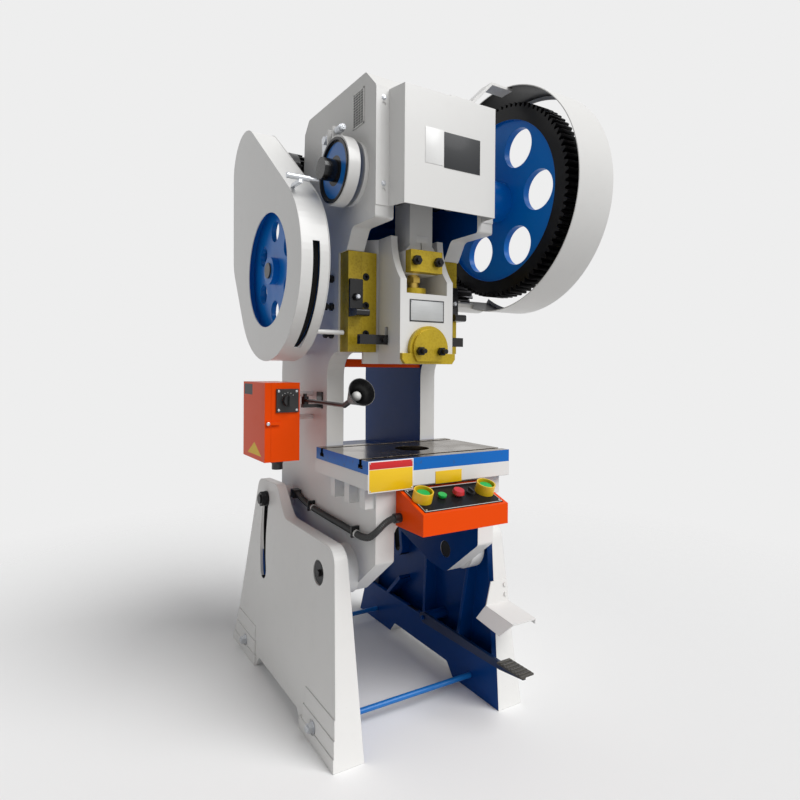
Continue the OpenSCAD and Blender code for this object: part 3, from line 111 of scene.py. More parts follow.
class Shade(Enum):
    """Paint and metal colours, as linear values."""

    WHITE = (0.785, 0.78, 0.765)
    DEEP_BLUE = (0.001, 0.175, 0.62)
    # The blue inside paint, made much darker than DEEP_BLUE as painted shade
    SHADE_BLUE = (0.0004, 0.050, 0.235)
    ORANGE = (0.85, 0.072, 0.002)
    GOLD = (0.50, 0.345, 0.010)
    BLACK = (0.012, 0.012, 0.013)
    GREASE = (0.006, 0.006, 0.007)
    STEEL = (0.42, 0.41, 0.39)
    ZINC = (0.62, 0.64, 0.67)
    OXIDE = (0.020, 0.020, 0.022)
    BRASS = (0.60, 0.42, 0.10)
    CAST = (0.085, 0.085, 0.09)
    YELLOW = (0.88, 0.56, 0.008)
    GREEN = (0.012, 0.47, 0.065)
    RED = (0.62, 0.012, 0.015)
    LABEL = (0.88, 0.88, 0.87)
    SLATE = (0.045, 0.047, 0.050)


# Node bench


class Nodes:
    """Adds nodes to one tree, and keeps the lines that do so short."""

    def __init__(self, tree: bpy.types.NodeTree) -> None:
        """Takes the tree to work in."""
        self.tree = tree

    def feed(self, target: Socket, value: object) -> None:
        """Links a socket into an input, or sets the input's value.

        Args:
            target: The input.
            value: The socket or the value that it gets.
        """
        if isinstance(value, bpy.types.NodeSocket):
            self.tree.links.new(value, target)
            return
        if target.type == "RGBA" and len(value) == 3:
            value = (*value, 1.0)
        target.default_value = value

    def node(self, kind: str, inputs: Inputs | None = None, **settings: object) -> bpy.types.Node:
        """Adds a node.

        Args:
            kind: The node's type name.
            inputs: A value or a socket for each named or numbered input.
            **settings: The node's own properties.

        Returns:
            The new node.
        """
        made = self.tree.nodes.new(kind)
        for key, value in settings.items():
            setattr(made, key, value)
        for key, value in (inputs or {}).items():
            self.feed(made.inputs[key], value)
        return made

    def math(self, operation: str, first: object, second: object = 0.0) -> Socket:
        """Works out one number from one or two."""
        return self.node("ShaderNodeMath", {0: first, 1: second}, operation=operation).outputs[0]


class Bench(Nodes):
    """Lays out one material's nodes."""

    def __init__(self, name: str) -> None:
        """Starts an empty material of the given name.

        Args:
            name: The material's name.
        """
        self.material = bpy.data.materials.new(name)
        self.material.use_nodes = True
        super().__init__(self.material.node_tree)
        self.tree.nodes.clear()

    @cached_property
    def point(self) -> Socket:
        """The point's place on the object, in metres."""
        return self.node("ShaderNodeTexCoord").outputs["Object"]

    @cached_property
    def facing(self) -> Socket:
        """The surface's direction in the object's own axes."""
        return self.node("ShaderNodeTexCoord").outputs["Normal"]

    @cached_property
    def sideways(self) -> Socket:
        """How far the point lies from the press's centre plane."""
        return self.math("ABSOLUTE", self.dot(self.point, RIGHT))

    def times(self, value: object, factor: float) -> Socket:
        """Multiplies a value."""
        return self.math("MULTIPLY", value, factor)

    def more(self, value: object, limit: float) -> Socket:
        """Gives 1 where a value is over a limit."""
        return self.math("GREATER_THAN", value, limit)

    def less(self, value: object, limit: float) -> Socket:
        """Gives 1 where a value is under a limit."""
        return self.math("LESS_THAN", value, limit)

    def vectors(self, operation: str, *inputs: object) -> bpy.types.Node:
        """Adds a node that works on one or two vectors."""
        return self.node("ShaderNodeVectorMath", dict(enumerate(inputs)), operation=operation)

    def dot(self, vector: Socket, along: Point) -> Socket:
        """Measures a vector along a direction."""
        return self.vectors("DOT_PRODUCT", vector, along).outputs["Value"]

    def beyond(self, along: Point, start: float) -> Socket:
        """Gives 1 where the point lies past a plane.

        Args:
            along: The plane's direction.
            start: How far along it the plane lies, in metres.

        Returns:
            A socket that is 1 past the plane and 0 before it.
        """
        return self.more(self.dot(self.point, along), start)

    def short_of(self, along: Point, end: float) -> Socket:
        """Gives 1 where the point doesn't lie past a plane."""
        return self.flip(self.beyond(along, end))

    def span(self, along: Point, low: float, high: float) -> Socket:
        """Gives 1 between two planes across a direction."""
        return self.both(self.beyond(along, low), self.short_of(along, high))

    def faces(self, along: Point) -> Socket:
        """Gives 1 where the surface faces a direction."""
        return self.more(self.dot(self.facing, along), 0.5)

    def edge_on(self, limit: float = 0.5) -> Socket:
        """Gives 1 where the surface runs along X."""
        return self.less(self.math("ABSOLUTE", self.dot(self.facing, RIGHT)), limit)

    def radius(self, centre: Point, axis: int = 0) -> Socket:
        """Measures the distance from a line that runs along an axis through a point.

        Args:
            centre: The point, in metres.
            axis: The line's axis: 0 for X, 1 for Y and 2 for Z.

        Returns:
            The distance, in metres.
        """
        across = tuple(0.0 if number == axis else 1.0 for number in range(3))
        moved = self.vectors("SUBTRACT", self.point, centre)
        flat = self.vectors("MULTIPLY", moved.outputs[0], across)
        return self.vectors("LENGTH", flat.outputs[0]).outputs["Value"]

    def both(self, *masks: Socket) -> Socket:
        """Gives 1 where every mask is 1.

        Args:
            *masks: The masks.

        Returns:
            Their product.
        """
        result = masks[0]
        for mask in masks[1:]:
            result = self.math("MULTIPLY", result, mask)
        return result

    def either(self, *masks: Socket) -> Socket:
        """Gives 1 where any mask is 1.

        Args:
            *masks: The masks.

        Returns:
            The highest of them.
        """
        result = masks[0]
        for mask in masks[1:]:
            result = self.math("MAXIMUM", result, mask)
        return result

    def flip(self, mask: Socket) -> Socket:
        """Gives 1 where a mask is 0."""
        return self.math("SUBTRACT", 1.0, mask)

    def mix(self, factor: object, first: object, second: object, mode: str = "MIX") -> Socket:
        """Mixes two colours."""
        return self.node("ShaderNodeMix", {"Factor": factor, "A": first, "B": second}, data_type="RGBA",
                         blend_type=mode).outputs["Result"]

    def blend(self, factor: object, first: object, second: object) -> Socket:
        """Mixes two numbers."""
        return self.node("ShaderNodeMix", {"Factor": factor, "A": first, "B": second},
                         data_type="FLOAT").outputs["Result"]

    def noise(self, scale: float, detail: float = 3.0, stretch: Point = (1.0, 1.0, 1.0)) -> Socket:
        """Adds a noise pattern.

        Args:
            scale: Patches to the metre.
            detail: How many finer layers it has.
            stretch: The scale along each axis.

        Returns:
            The pattern's strength, from 0 to 1.
        """
        placed = self.node("ShaderNodeMapping", {"Vector": self.point, "Scale": stretch})
        inputs = {"Vector": placed.outputs[0], "Scale": scale, "Detail": detail}
        return self.node("ShaderNodeTexNoise", inputs).outputs["Fac"]

    def ramp(self, value: Socket, low: float, high: float) -> Socket:
        """Stretches a span of a pattern to run from 0 to 1."""
        return self.node("ShaderNodeMapRange", {"Value": value, "From Min": low, "From Max": high}).outputs[0]

    def rounded(self, radius: float) -> Socket:
        """Gives the surface direction with its sharp edges rounded, in metres."""
        return self.node("ShaderNodeBevel", {"Radius": radius}, samples=4).outputs[0]

    def bump(self, height: Socket, depth: float, normal: Socket) -> Socket:
        """Turns a pattern into relief.

        Args:
            height: The pattern.
            depth: Its full height, in metres.
            normal: The direction to start from.

        Returns:
            The changed direction.
        """
        return self.node("ShaderNodeBump", {"Height": height, "Strength": 1.0, "Distance": depth,
                                            "Normal": normal}).outputs[0]

    def surface(self, colour: object, roughness: object, metallic: object = 0.0, normal: Socket | None = None,
                coat: float = 0.0, specular: float = 0.5) -> bpy.types.Material:
        """Ends the material in one principled shader.

        Args:
            colour: The base colour.
            roughness: How matte it is.
            metallic: How much of it is bare metal.
            normal: The surface direction.
            coat: The weight of the clear gloss over it.
            specular: The strength of its plain reflection.

        Returns:
            The finished material.
        """
        shader = self.node("ShaderNodeBsdfPrincipled", {
            "Base Color": colour, "Roughness": roughness, "Metallic": metallic, "Coat Weight": coat,
            "Coat Roughness": 0.16, "Specular IOR Level": specular,
        })
        if normal is not None:
            self.feed(shader.inputs["Normal"], normal)
        self.node("ShaderNodeOutputMaterial", {0: shader.outputs[0]})
        return self.material


# Finishes


@dataclass(frozen=True)
class Enamel:
    """Sprayed enamel over castings or sheet.

    Attributes:
        name: The material's name.
        colour: The main coat.
        inner: The second coat, where a zone is given.
        zone: Where the second coat lies.
        marks: Further fields of colour, each with where it lies.
        edge: The rounding of sharp edges, in metres.
        roughness: How matte the coat is.
        ripple: The depth of the casting's waviness, in metres.
        grime: How strong the dirt in it is.
        gloss: The strength of its reflection.
    """

    name: str
    colour: Colour
    inner: Colour | None = None
    zone: Mask | None = None
    marks: tuple[tuple[Mask, Colour], ...] = ()
    edge: float = 0.0022
    roughness: float = 0.30
    ripple: float = 0.00045
    grime: float = 0.05
    gloss: float = 0.40

    def make(self) -> bpy.types.Material:
        """Builds the material.

        Returns:
            The finished material.
        """
        bench = Bench(self.name)
        coat: object = self.colour
        if self.inner is not None and self.zone is not None:
            coat = bench.mix(self.zone(bench), self.colour, self.inner)
        for mark, colour in self.marks:
            coat = bench.mix(mark(bench), coat, colour)
        clouds = bench.ramp(bench.noise(2.6, 4.0), 0.35, 0.75)
        dust = bench.ramp(bench.noise(21.0, 5.0), 0.55, 0.85)
        specks = bench.ramp(bench.noise(170.0, 1.0), 0.78, 0.81)
        for dirt, strength, tint in ((clouds, 1.0, (0.34, 0.31, 0.26)), (dust, 0.7, (0.20, 0.18, 0.16)),
                                     (specks, 3.0, (0.10, 0.09, 0.08))):
            coat = bench.mix(bench.times(dirt, self.grime * strength), coat, tint, "MULTIPLY")
        wave = bench.bump(bench.noise(14.0, 2.0), self.ripple, bench.rounded(self.edge))
        peel = bench.bump(bench.noise(420.0, 2.0), 0.00003, wave)
        matte = bench.math("ADD", bench.times(dust, 0.10), self.roughness)
        return bench.surface(coat, matte, 0.0, peel, coat=0.4 * self.gloss, specular=self.gloss)


@dataclass(frozen=True)
class GoldPaint:
    """Gold hammer paint, as on the gibs and clamps."""

    name: str = "gold_hammer_paint"
    dull: Colour = (0.32, 0.215, 0.006)
    bright: Colour = (0.60, 0.45, 0.03)
    edge: float = 0.0014

    def make(self) -> bpy.types.Material:
        """Builds the material.

        Returns:
            The finished material.
        """
        bench = Bench(self.name)
        cells = bench.node("ShaderNodeTexVoronoi", {"Vector": bench.point, "Scale": 115.0})
        hammer = cells.outputs["Distance"]
        patches = bench.ramp(bench.noise(12.0, 4.0), 0.35, 0.70)
        colour = bench.mix(patches, self.dull, Shade.GOLD.value)
        shine = bench.mix(bench.times(bench.ramp(hammer, 0.10, 0.60), 0.35), colour, self.bright)
        relief = bench.bump(hammer, 0.00035, bench.rounded(self.edge))
        return bench.surface(shine, bench.blend(patches, 0.42, 0.28), 0.45, relief, coat=0.15, specular=0.35)


@dataclass(frozen=True)
class BolsterSteel:
    """The bolster: ground on top and in its slots, painted on its sides."""

    name: str = "bolster_steel"
    paint: Colour = (0.001, 0.14, 0.53)
    chipped: Colour = (0.05, 0.06, 0.08)
    # The ground top's brown tone is a painted reflection
    metal: Colour = (0.18, 0.145, 0.105)
    oily: Colour = (0.080, 0.054, 0.032)
    # Grinding lines, made lighter as painted sheen
    marks_and_sheen: Colour = (0.34, 0.31, 0.27)

    def make(self) -> bpy.types.Material:
        """Builds the material.

        Returns:
            The finished material.
        """
        bench = Bench(self.name)
        bare = bolster_top(bench)
        swirl = bench.noise(190.0, 2.0, (0.06, 1.0, 1.0))
        oil = bench.ramp(bench.noise(7.0, 5.0), 0.38, 0.68)
        ground = bench.mix(bench.times(oil, 0.55), self.metal, self.oily)
        # Lighter swirl lines: grinding marks with painted sheen
        ground = bench.mix(bench.times(swirl, 0.25), ground, self.marks_and_sheen)
        chips = bench.ramp(bench.noise(60.0, 4.0), 0.60, 0.66)
        colour = bench.mix(bare, bench.mix(bench.times(chips, 0.35), self.paint, self.chipped), ground)
        rough = bench.blend(bare, 0.34, bench.math("ADD", bench.times(oil, 0.14), 0.16))
        relief = bench.bump(swirl, 0.00004, bench.rounded(0.0012))
        return bench.surface(colour, rough, bare, relief, specular=0.25)


@dataclass(frozen=True)
class Metal:
    """Bare, plated or blackened steel.

    Attributes:
        name: The material's name.
        colour: The metal's colour.
        roughness: How matte it is.
        grain: The direction stretch of its machining marks.
        marks: The depth of those marks, in metres.
        edge: The rounding of sharp edges, in metres.
        metallic: How much of it is bare metal.
        stain: How much oil and dirt it carries.
    """

    name: str
    colour: Colour
    roughness: float = 0.30
    grain: Point = (1.0, 1.0, 1.0)
    marks: float = 0.00004
    edge: float = 0.0008
    metallic: float = 1.0
    stain: float = 0.25

    def make(self) -> bpy.types.Material:
        """Builds the material.

        Returns:
            The finished material.
        """
        bench = Bench(self.name)
        lines = bench.noise(320.0, 2.0, self.grain)
        oil = bench.ramp(bench.noise(16.0, 4.0), 0.42, 0.72)
        dark = tuple(0.35 * part for part in self.colour)
        toned = bench.mix(bench.times(oil, self.stain), self.colour, dark)
        streaked = bench.mix(bench.times(lines, 0.18), toned, dark)
        rough = bench.math("ADD", bench.times(lines, 0.14), self.roughness)
        relief = bench.bump(lines, self.marks, bench.rounded(self.edge))
        return bench.surface(streaked, rough, self.metallic, relief)


@dataclass(frozen=True)
class Moulding:
    """Moulded plastic or rubber."""

    name: str
    colour: Colour
    roughness: float = 0.38
    edge: float = 0.0009
    texture: float = 0.00005

    def make(self) -> bpy.types.Material:
        """Builds the material.

        Returns:
            The finished material.
        """
        bench = Bench(self.name)
        wear = bench.ramp(bench.noise(24.0, 4.0), 0.45, 0.80)
        pale = tuple(min(1.0, part * 0.75 + 0.035) for part in self.colour)
        colour = bench.mix(bench.times(wear, 0.30), self.colour, pale)
        relief = bench.bump(bench.noise(900.0, 2.0), self.texture, bench.rounded(self.edge))
        rough = bench.math("ADD", bench.times(wear, 0.14), self.roughness)
        return bench.surface(colour, rough, 0.0, relief, coat=0.10)


# Zones of the two-coloured pieces, in metres


def frame_inside(bench: Bench) -> Socket:
    """Marks the inside of the frame: its cheeks, its head and the underside of its bed.

    Args:
        bench: The material's bench.

    Returns:
        A mask that is 1 there and 0 elsewhere.
    """
    half_gap, head_front, head_top, rear_edge = 0.1685, 0.118, 2.100, 0.386
    bed_underside = (0.80, 0.86)
    between = bench.less(bench.sideways, half_gap)
    front = bench.both(bench.faces(FRONT), bench.beyond(FRONT, RAM_Y + head_front))
    roof = bench.both(bench.faces(UP), bench.beyond(UP, head_top))
    rear = bench.both(bench.faces(REAR), bench.beyond(REAR, rear_edge - RAM_Y))
    below = bench.both(bench.faces(DOWN), bench.span(UP, *bed_underside))
    return bench.either(bench.both(between, bench.flip(bench.either(front, roof, rear))), below)


def leg_inside(bench: Bench) -> Socket:
    """Marks a leg's pocket and the inner faces of its rim.

    Args:
        bench: The material's bench.

    Returns:
        A mask that is 1 there and 0 elsewhere.
    """
    rear_edge, rear_at = (0.0, 0.9581, 0.2866), 0.4848
    front_edge, front_at = (0.0, 0.9935, -0.1135), -0.5196
    brow_edge, brow_at = (0.0, 0.7538, -0.6571), -0.4376
    low_part, high_part = (0.060, 0.622), (0.30, 0.728)
    splay, inner_face = 0.045, 0.355
    side = bench.math("SIGN", bench.dot(bench.point, RIGHT))
    facing_in = bench.less(bench.math("MULTIPLY", bench.dot(bench.facing, RIGHT), side), -0.5)
    rear = bench.short_of(rear_edge, rear_at - LEG_RIM)
    front = bench.beyond(front_edge, front_at + LEG_RIM)
    low = bench.span(UP, *low_part)
    high = bench.both(bench.span(UP, *high_part), bench.beyond(brow_edge, brow_at + LEG_RIM))
    lean = bench.times(bench.dot(bench.point, UP), splay)
    inner = bench.less(bench.math("ADD", bench.sideways, lean), inner_face)
    return bench.either(facing_in, bench.both(rear, front, bench.either(low, high), inner))


def tilt_slot(bench: Bench) -> Socket:
    """Marks the walls of a leg's tilting slot, made black as painted shade.

    Args:
        bench: The material's bench.

    Returns:
        A mask that is 1 there and 0 elsewhere.
    """
    half_width, start, top = 0.0245, 0.300, 0.706
    off = bench.math("ABSOLUTE", bench.math("SUBTRACT", bench.radius(PIVOT_AXIS), TILT_R))
    return bench.both(bench.less(off, half_width), bench.edge_on(), bench.beyond(REAR, start - RAM_Y),
                      bench.short_of(UP, top))


def rod_ends(bench: Bench) -> Socket:
    """Marks the bare threads of the tie rods."""
    thread_start = 0.355
    return bench.more(bench.sideways, thread_start)


def pedal_pad(bench: Bench) -> Socket:
    """Marks the worn tread of the pedal."""
    pad_rear, pad_under = 0.204, 0.197
    return bench.both(bench.beyond(FRONT, RAM_Y + pad_rear), bench.beyond(UP, pad_under))


def ring_guard_inside(bench: Bench) -> Socket:
    """Marks the inner side of the gear guard's band.

    Args:
        bench: The material's bench.

    Returns:
        A mask that is 1 there and 0 elsewhere.
    """
    gear_r, pinion_r = 0.4136, 0.0986
    near = (bench.less(bench.radius(CRANK_AXIS), gear_r), bench.less(bench.radius(WHEEL_AXIS), pinion_r))
    return bench.both(bench.either(*near), bench.edge_on())


def gear_rim(bench: Bench) -> Socket:
    """Marks the greased rim and teeth of the large gear."""
    rim_r = 0.2985
    return bench.more(bench.radius(CRANK_AXIS), rim_r)


def drum_edge(bench: Bench) -> Socket:
    """Marks the brake drum's worn edge and its hub.

    Args:
        bench: The material's bench.

    Returns:
        A mask that is 1 there and 0 elsewhere.
    """
    edge_r, hub_r = 0.0880, 0.0480
    reach = bench.radius(CRANK_AXIS)
    return bench.either(bench.more(reach, edge_r), bench.less(reach, hub_r))


def wheel_rim(bench: Bench) -> Socket:
    """Marks the grooves turned in the flywheel's rim."""
    groove_r = 0.262
    return bench.both(bench.edge_on(0.9), bench.more(bench.radius(WHEEL_AXIS), groove_r))


def control_panel(bench: Bench) -> Socket:
    """Marks the dark panel on the control box's slope."""
    panel_side, panel_at, half_width = (0.0, -0.33694, 0.94153), 0.95876, 0.1503
    return bench.both(bench.beyond(panel_side, panel_at), bench.less(bench.sideways, half_width))


def door_label(bench: Bench) -> Socket:
    """Marks the dark label near the top of the cabinet door's outer face.

    Args:
        bench: The material's bench.

    Returns:
        A mask that is 1 there and 0 elsewhere.
    """
    front, rear, low, high = 0.312, 0.404, 1.106, 1.144
    return bench.both(bench.faces(LEFT), bench.span(REAR, front - RAM_Y, rear - RAM_Y),
                      bench.span(UP, low, high))


def door_warning(bench: Bench) -> Socket:
    """Marks the flat yellow triangle at the foot of the cabinet door's outer face.

    Args:
        bench: The material's bench.

    Returns:
        A mask that is 1 there and 0 elsewhere.
    """
    foot, rear_side, front_side = 0.898, (0.0, 0.50, 0.866), (0.0, -0.50, 0.866)
    rear_at, front_at = 0.7765, 0.8535
    return bench.both(bench.faces(LEFT), bench.beyond(UP, foot), bench.short_of(rear_side, rear_at),
                      bench.short_of(front_side, front_at))


def bolster_top(bench: Bench) -> Socket:
    """Marks the ground top and slots of the bolster.

    Args:
        bench: The material's bench.

    Returns:
        A mask that is 1 there and 0 elsewhere.
    """
    top_over, half_width, half_depth = 0.90, 0.2795, 0.1865
    top = bench.both(bench.faces(UP), bench.beyond(UP, top_over))
    outer = bench.either(bench.more(bench.sideways, half_width), bench.beyond(FRONT, RAM_Y + half_depth),
                         bench.beyond(REAR, half_depth - RAM_Y))
    return bench.either(top, bench.flip(outer))


@dataclass
class Finishes:
    """Every finish on the press, made once."""

    made: dict[str, bpy.types.Material] = field(default_factory=dict)

    def mix(self) -> Finishes:
        """Builds all materials.

        Returns:
            The finishes, so that the call can be chained.
        """
        shade = {member.name: member.value for member in Shade}
        white, deep, dark, orange = (shade[name] for name in ("WHITE", "DEEP_BLUE", "GREASE", "ORANGE"))
        cast = {"edge": 0.004}
        small = {"edge": 0.001, "gloss": 0.3}
        folded = {"edge": 0.0016, "ripple": 0.0001, "grime": 0.03, "gloss": 0.07}
        flat = {"edge": 0.0004, "ripple": 0.0}
        recipes = [
            Enamel("white_enamel", white),
            # The frame's and the legs' inner blue is the blue paint darkened as painted shade
            Enamel("frame_enamel", white, shade["SHADE_BLUE"], frame_inside, gloss=0.10, **cast),
            # The tilting slot's walls are black as painted shade
            Enamel("leg_enamel", white, shade["SHADE_BLUE"], leg_inside, ((tilt_slot, shade["BLACK"]),),
                   gloss=0.12, **cast),
            Enamel("ring_guard_enamel", white, dark, ring_guard_inside, edge=0.0012, ripple=0.0002,
                   gloss=0.08),
            Enamel("sheet_enamel", white, edge=0.0012, ripple=0.00012, grime=0.03),
            Enamel("rod_enamel", (0.010, 0.16, 0.50), marks=((rod_ends, shade["ZINC"]),), **small),
            Enamel("pedal_enamel", (0.004, 0.020, 0.075), marks=((pedal_pad, (0.060, 0.055, 0.047)),),
                   **small),
            Enamel("gear_enamel", deep, dark, gear_rim, gloss=0.16),
            Enamel("wheel_enamel", deep, shade["OXIDE"], wheel_rim, gloss=0.2),
            Enamel("drum_enamel", (0.002, 0.155, 0.54), dark, drum_edge, **small),
            Enamel("orange_enamel", orange, **folded),
            Enamel("door_enamel", orange, **folded,
                   marks=((door_label, shade["SLATE"]), (door_warning, shade["YELLOW"]))),
            Enamel("control_enamel", orange, shade["BLACK"], control_panel, **folded),
            Enamel("black_enamel", shade["BLACK"], edge=0.001, ripple=0.0002, grime=0.08),
            Enamel("shaft_paint", dark, edge=0.0012, roughness=0.22, grime=0.22),
            Enamel("yellow_field", shade["YELLOW"], roughness=0.34, grime=0.08, **flat),
            Enamel("red_field", shade["RED"], roughness=0.34, grime=0.06, **flat),
            Enamel("pale_field", shade["LABEL"], **flat),
            Enamel("slate_field", shade["SLATE"], roughness=0.5, grime=0.12, gloss=0.2, **flat),
            GoldPaint(),
            BolsterSteel(),
            Metal("turned_steel", shade["STEEL"], 0.24, (1.0, 0.04, 0.04)),
            Metal("pinion_steel", (0.10, 0.10, 0.105), 0.30, (0.06, 1.0, 1.0), stain=0.7),
            Metal("zinc_steel", shade["ZINC"], 0.28, stain=0.15),
            Metal("plate_steel", (0.56, 0.57, 0.57), 0.50, (0.05, 1.0, 1.0), edge=0.0004, metallic=0.25,
                  stain=0.1),
            Metal("black_oxide", shade["OXIDE"], 0.34, metallic=0.75, stain=0.4),
            Metal("brass", shade["BRASS"], 0.26),
            Metal("cast_iron", shade["CAST"], 0.50, marks=0.0002, metallic=0.35, stain=0.4),
            Moulding("black_rubber", (0.014, 0.014, 0.014), 0.52),
            Moulding("belt_rubber", (0.010, 0.010, 0.010), 0.62),
            Moulding("black_plastic", (0.011, 0.011, 0.012)),
            Moulding("white_plastic", (0.74, 0.74, 0.72)),
            Moulding("yellow_plastic", shade["YELLOW"], 0.32),
            Moulding("green_plastic", shade["GREEN"], 0.28),
            Moulding("red_plastic", shade["RED"], 0.28),
        ]
        for recipe in recipes:
            self.made[recipe.name] = recipe.make()
        LOG.info("%d finishes mixed", len(self.made))
        return self

    def __getitem__(self, name: str) -> bpy.types.Material:
        """Finds a material by its finish's name."""
        return self.made[name]


# Shapes


def in_metres(x: float, y: float, z: float) -> Vector:
    """Turns millimetres from the ram's axis and the floor into metres from the anchor holes' centre."""
    return Vector((x * MM, y * MM - RAM_Y, z * MM))


def ring_of(y: float, z: float, radius: float, steps: int = 48) -> list[tuple[float, float]]:
    """Gives the points of a circle."""
    return [(y + radius * math.cos(math.tau * i / steps), z + radius * math.sin(math.tau * i / steps))
            for i in range(steps)]


def wrapped(circles: Sequence[Point], swell: float) -> list[tuple[float, float]]:
    """Draws a band tight round circles.

    Args:
        circles: Centre and radius of each circle, anticlockwise.
        swell: How far outside them it runs.

    Returns:
        The points of the closed outline, at most 5 degrees of arc apart.
    """

    def leave(a: Point, b: Point) -> float:
        """Gives the direction of the tangent's foot on both circles."""
        dy, dz = b[0] - a[0], b[1] - a[1]
        return math.degrees(math.atan2(dz, dy) - math.acos((a[2] - b[2]) / math.hypot(dy, dz)))

    outline = []
    for before, circle, after in zip(circles[-1:] + circles[:-1], circles, circles[1:] + circles[:1]):
        first = leave(before, circle)
        sweep = (leave(circle, after) - first) % 360.0
        parts = max(1, math.ceil(sweep / 5.0))
        reach = circle[2] + swell
        for j in range(parts + 1):
            angle = math.radians(first + sweep * j / parts)
            outline.append((circle[0] + reach * math.cos(angle), circle[1] + reach * math.sin(angle)))
    return outline


def settle(made: bpy.types.Object, body: Body) -> bpy.types.Object:
    """Lets a finished piece ride on its body.

    Args:
        made: The piece.
        body: The body it rides on.

    Returns:
        The same piece.
    """
    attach(made, body.value)
    LOG.info("%s: %d faces, on %s", made.name, len(made.data.polygons), body.value)
    return made


def add_object(name: str, data: bpy.types.ID) -> bpy.types.Object:
    """Puts a new object into the scene.

    Args:
        name: The object's name.
        data: Its mesh, camera or lamp.

    Returns:
        The object.
    """
    made = bpy.data.objects.new(name, data)
    bpy.context.scene.collection.objects.link(made)
    return made


class Shape:
    """Gathers closed solids in one mesh. Sizes are in millimetres from the ram's axis and the floor."""

    def __init__(self) -> None:
        """Starts an empty mesh."""
        self.mesh = bmesh.new()

    def block(self, low: Point, high: Point, bevel: float) -> Shape:
        """Adds a box with broken edges.

        Args:
            low: Its lowest corner.
            high: Its highest corner.
            bevel: The width of the broken edges.

        Returns:
            The shape, so that calls can be chained.
        """
        place = Matrix.LocRotScale((Vector(low) + Vector(high)) / 2.0, None, Vector(high) - Vector(low))
        made = bmesh.ops.create_cube(self.mesh, size=1.0, matrix=place)["verts"]
        edges = list({edge for vert in made for edge in vert.link_edges})
        bmesh.ops.bevel(self.mesh, geom=edges, offset=bevel, segments=2, profile=0.5, affect="EDGES")
        return self

    def lathe(self, profile: Sequence[tuple[float, float]], centre: Point, turn: Matrix, steps: int) -> Shape:
        """Adds a turned solid.

        Args:
            profile: Height along the axis and radius of each point. It begins and ends on the axis.
            centre: Where the axis starts.
            turn: The rotation that takes Z to the axis.
            steps: The number of sides.

        Returns:
            The shape.
        """
        rings = []
        for height, radius in profile:
            spots = ring_of(0.0, 0.0, radius, steps) if radius else [(0.0, 0.0)]
            places = [turn @ Vector((x, y, height)) + Vector(centre) for x, y in spots]
            rings.append([self.mesh.verts.new(place) for place in places])
        faces = []
        for low, high in zip(rings, rings[1:]):
            for i in range(steps):
                j = (i + 1) % steps
                corners = [low[i % len(low)], low[j % len(low)], high[j % len(high)], high[i % len(high)]]
                corners = list(dict.fromkeys(corners))
                if len(corners) > 2:
                    faces.append(self.mesh.faces.new(corners))
        bmesh.ops.recalc_face_normals(self.mesh, faces=faces)
        return self

    def piece(self, name: str, finish: bpy.types.Material, body: Body, slot: Slot) -> bpy.types.Object:
        """Turns the shape into a piece that rides on a body.

        Args:
            name: The piece's name.
            finish: Its material.
            body: The body it rides on.
            slot: The record's slot for its finish, which is not used.

        Returns:
            The finished object.
        """
        data = bpy.data.meshes.new(name)
        bmesh.ops.remove_doubles(self.mesh, verts=self.mesh.verts, dist=0.0005)
        for vert in self.mesh.verts:
            vert.co = in_metres(*vert.co)
        self.mesh.to_mesh(data)
        self.mesh.free()
        data.materials.append(finish)
        data.shade_smooth()
        data.set_sharp_from_angle(angle=math.radians(32.0))
        return settle(add_object(name, data), body)


# Geometry Nodes


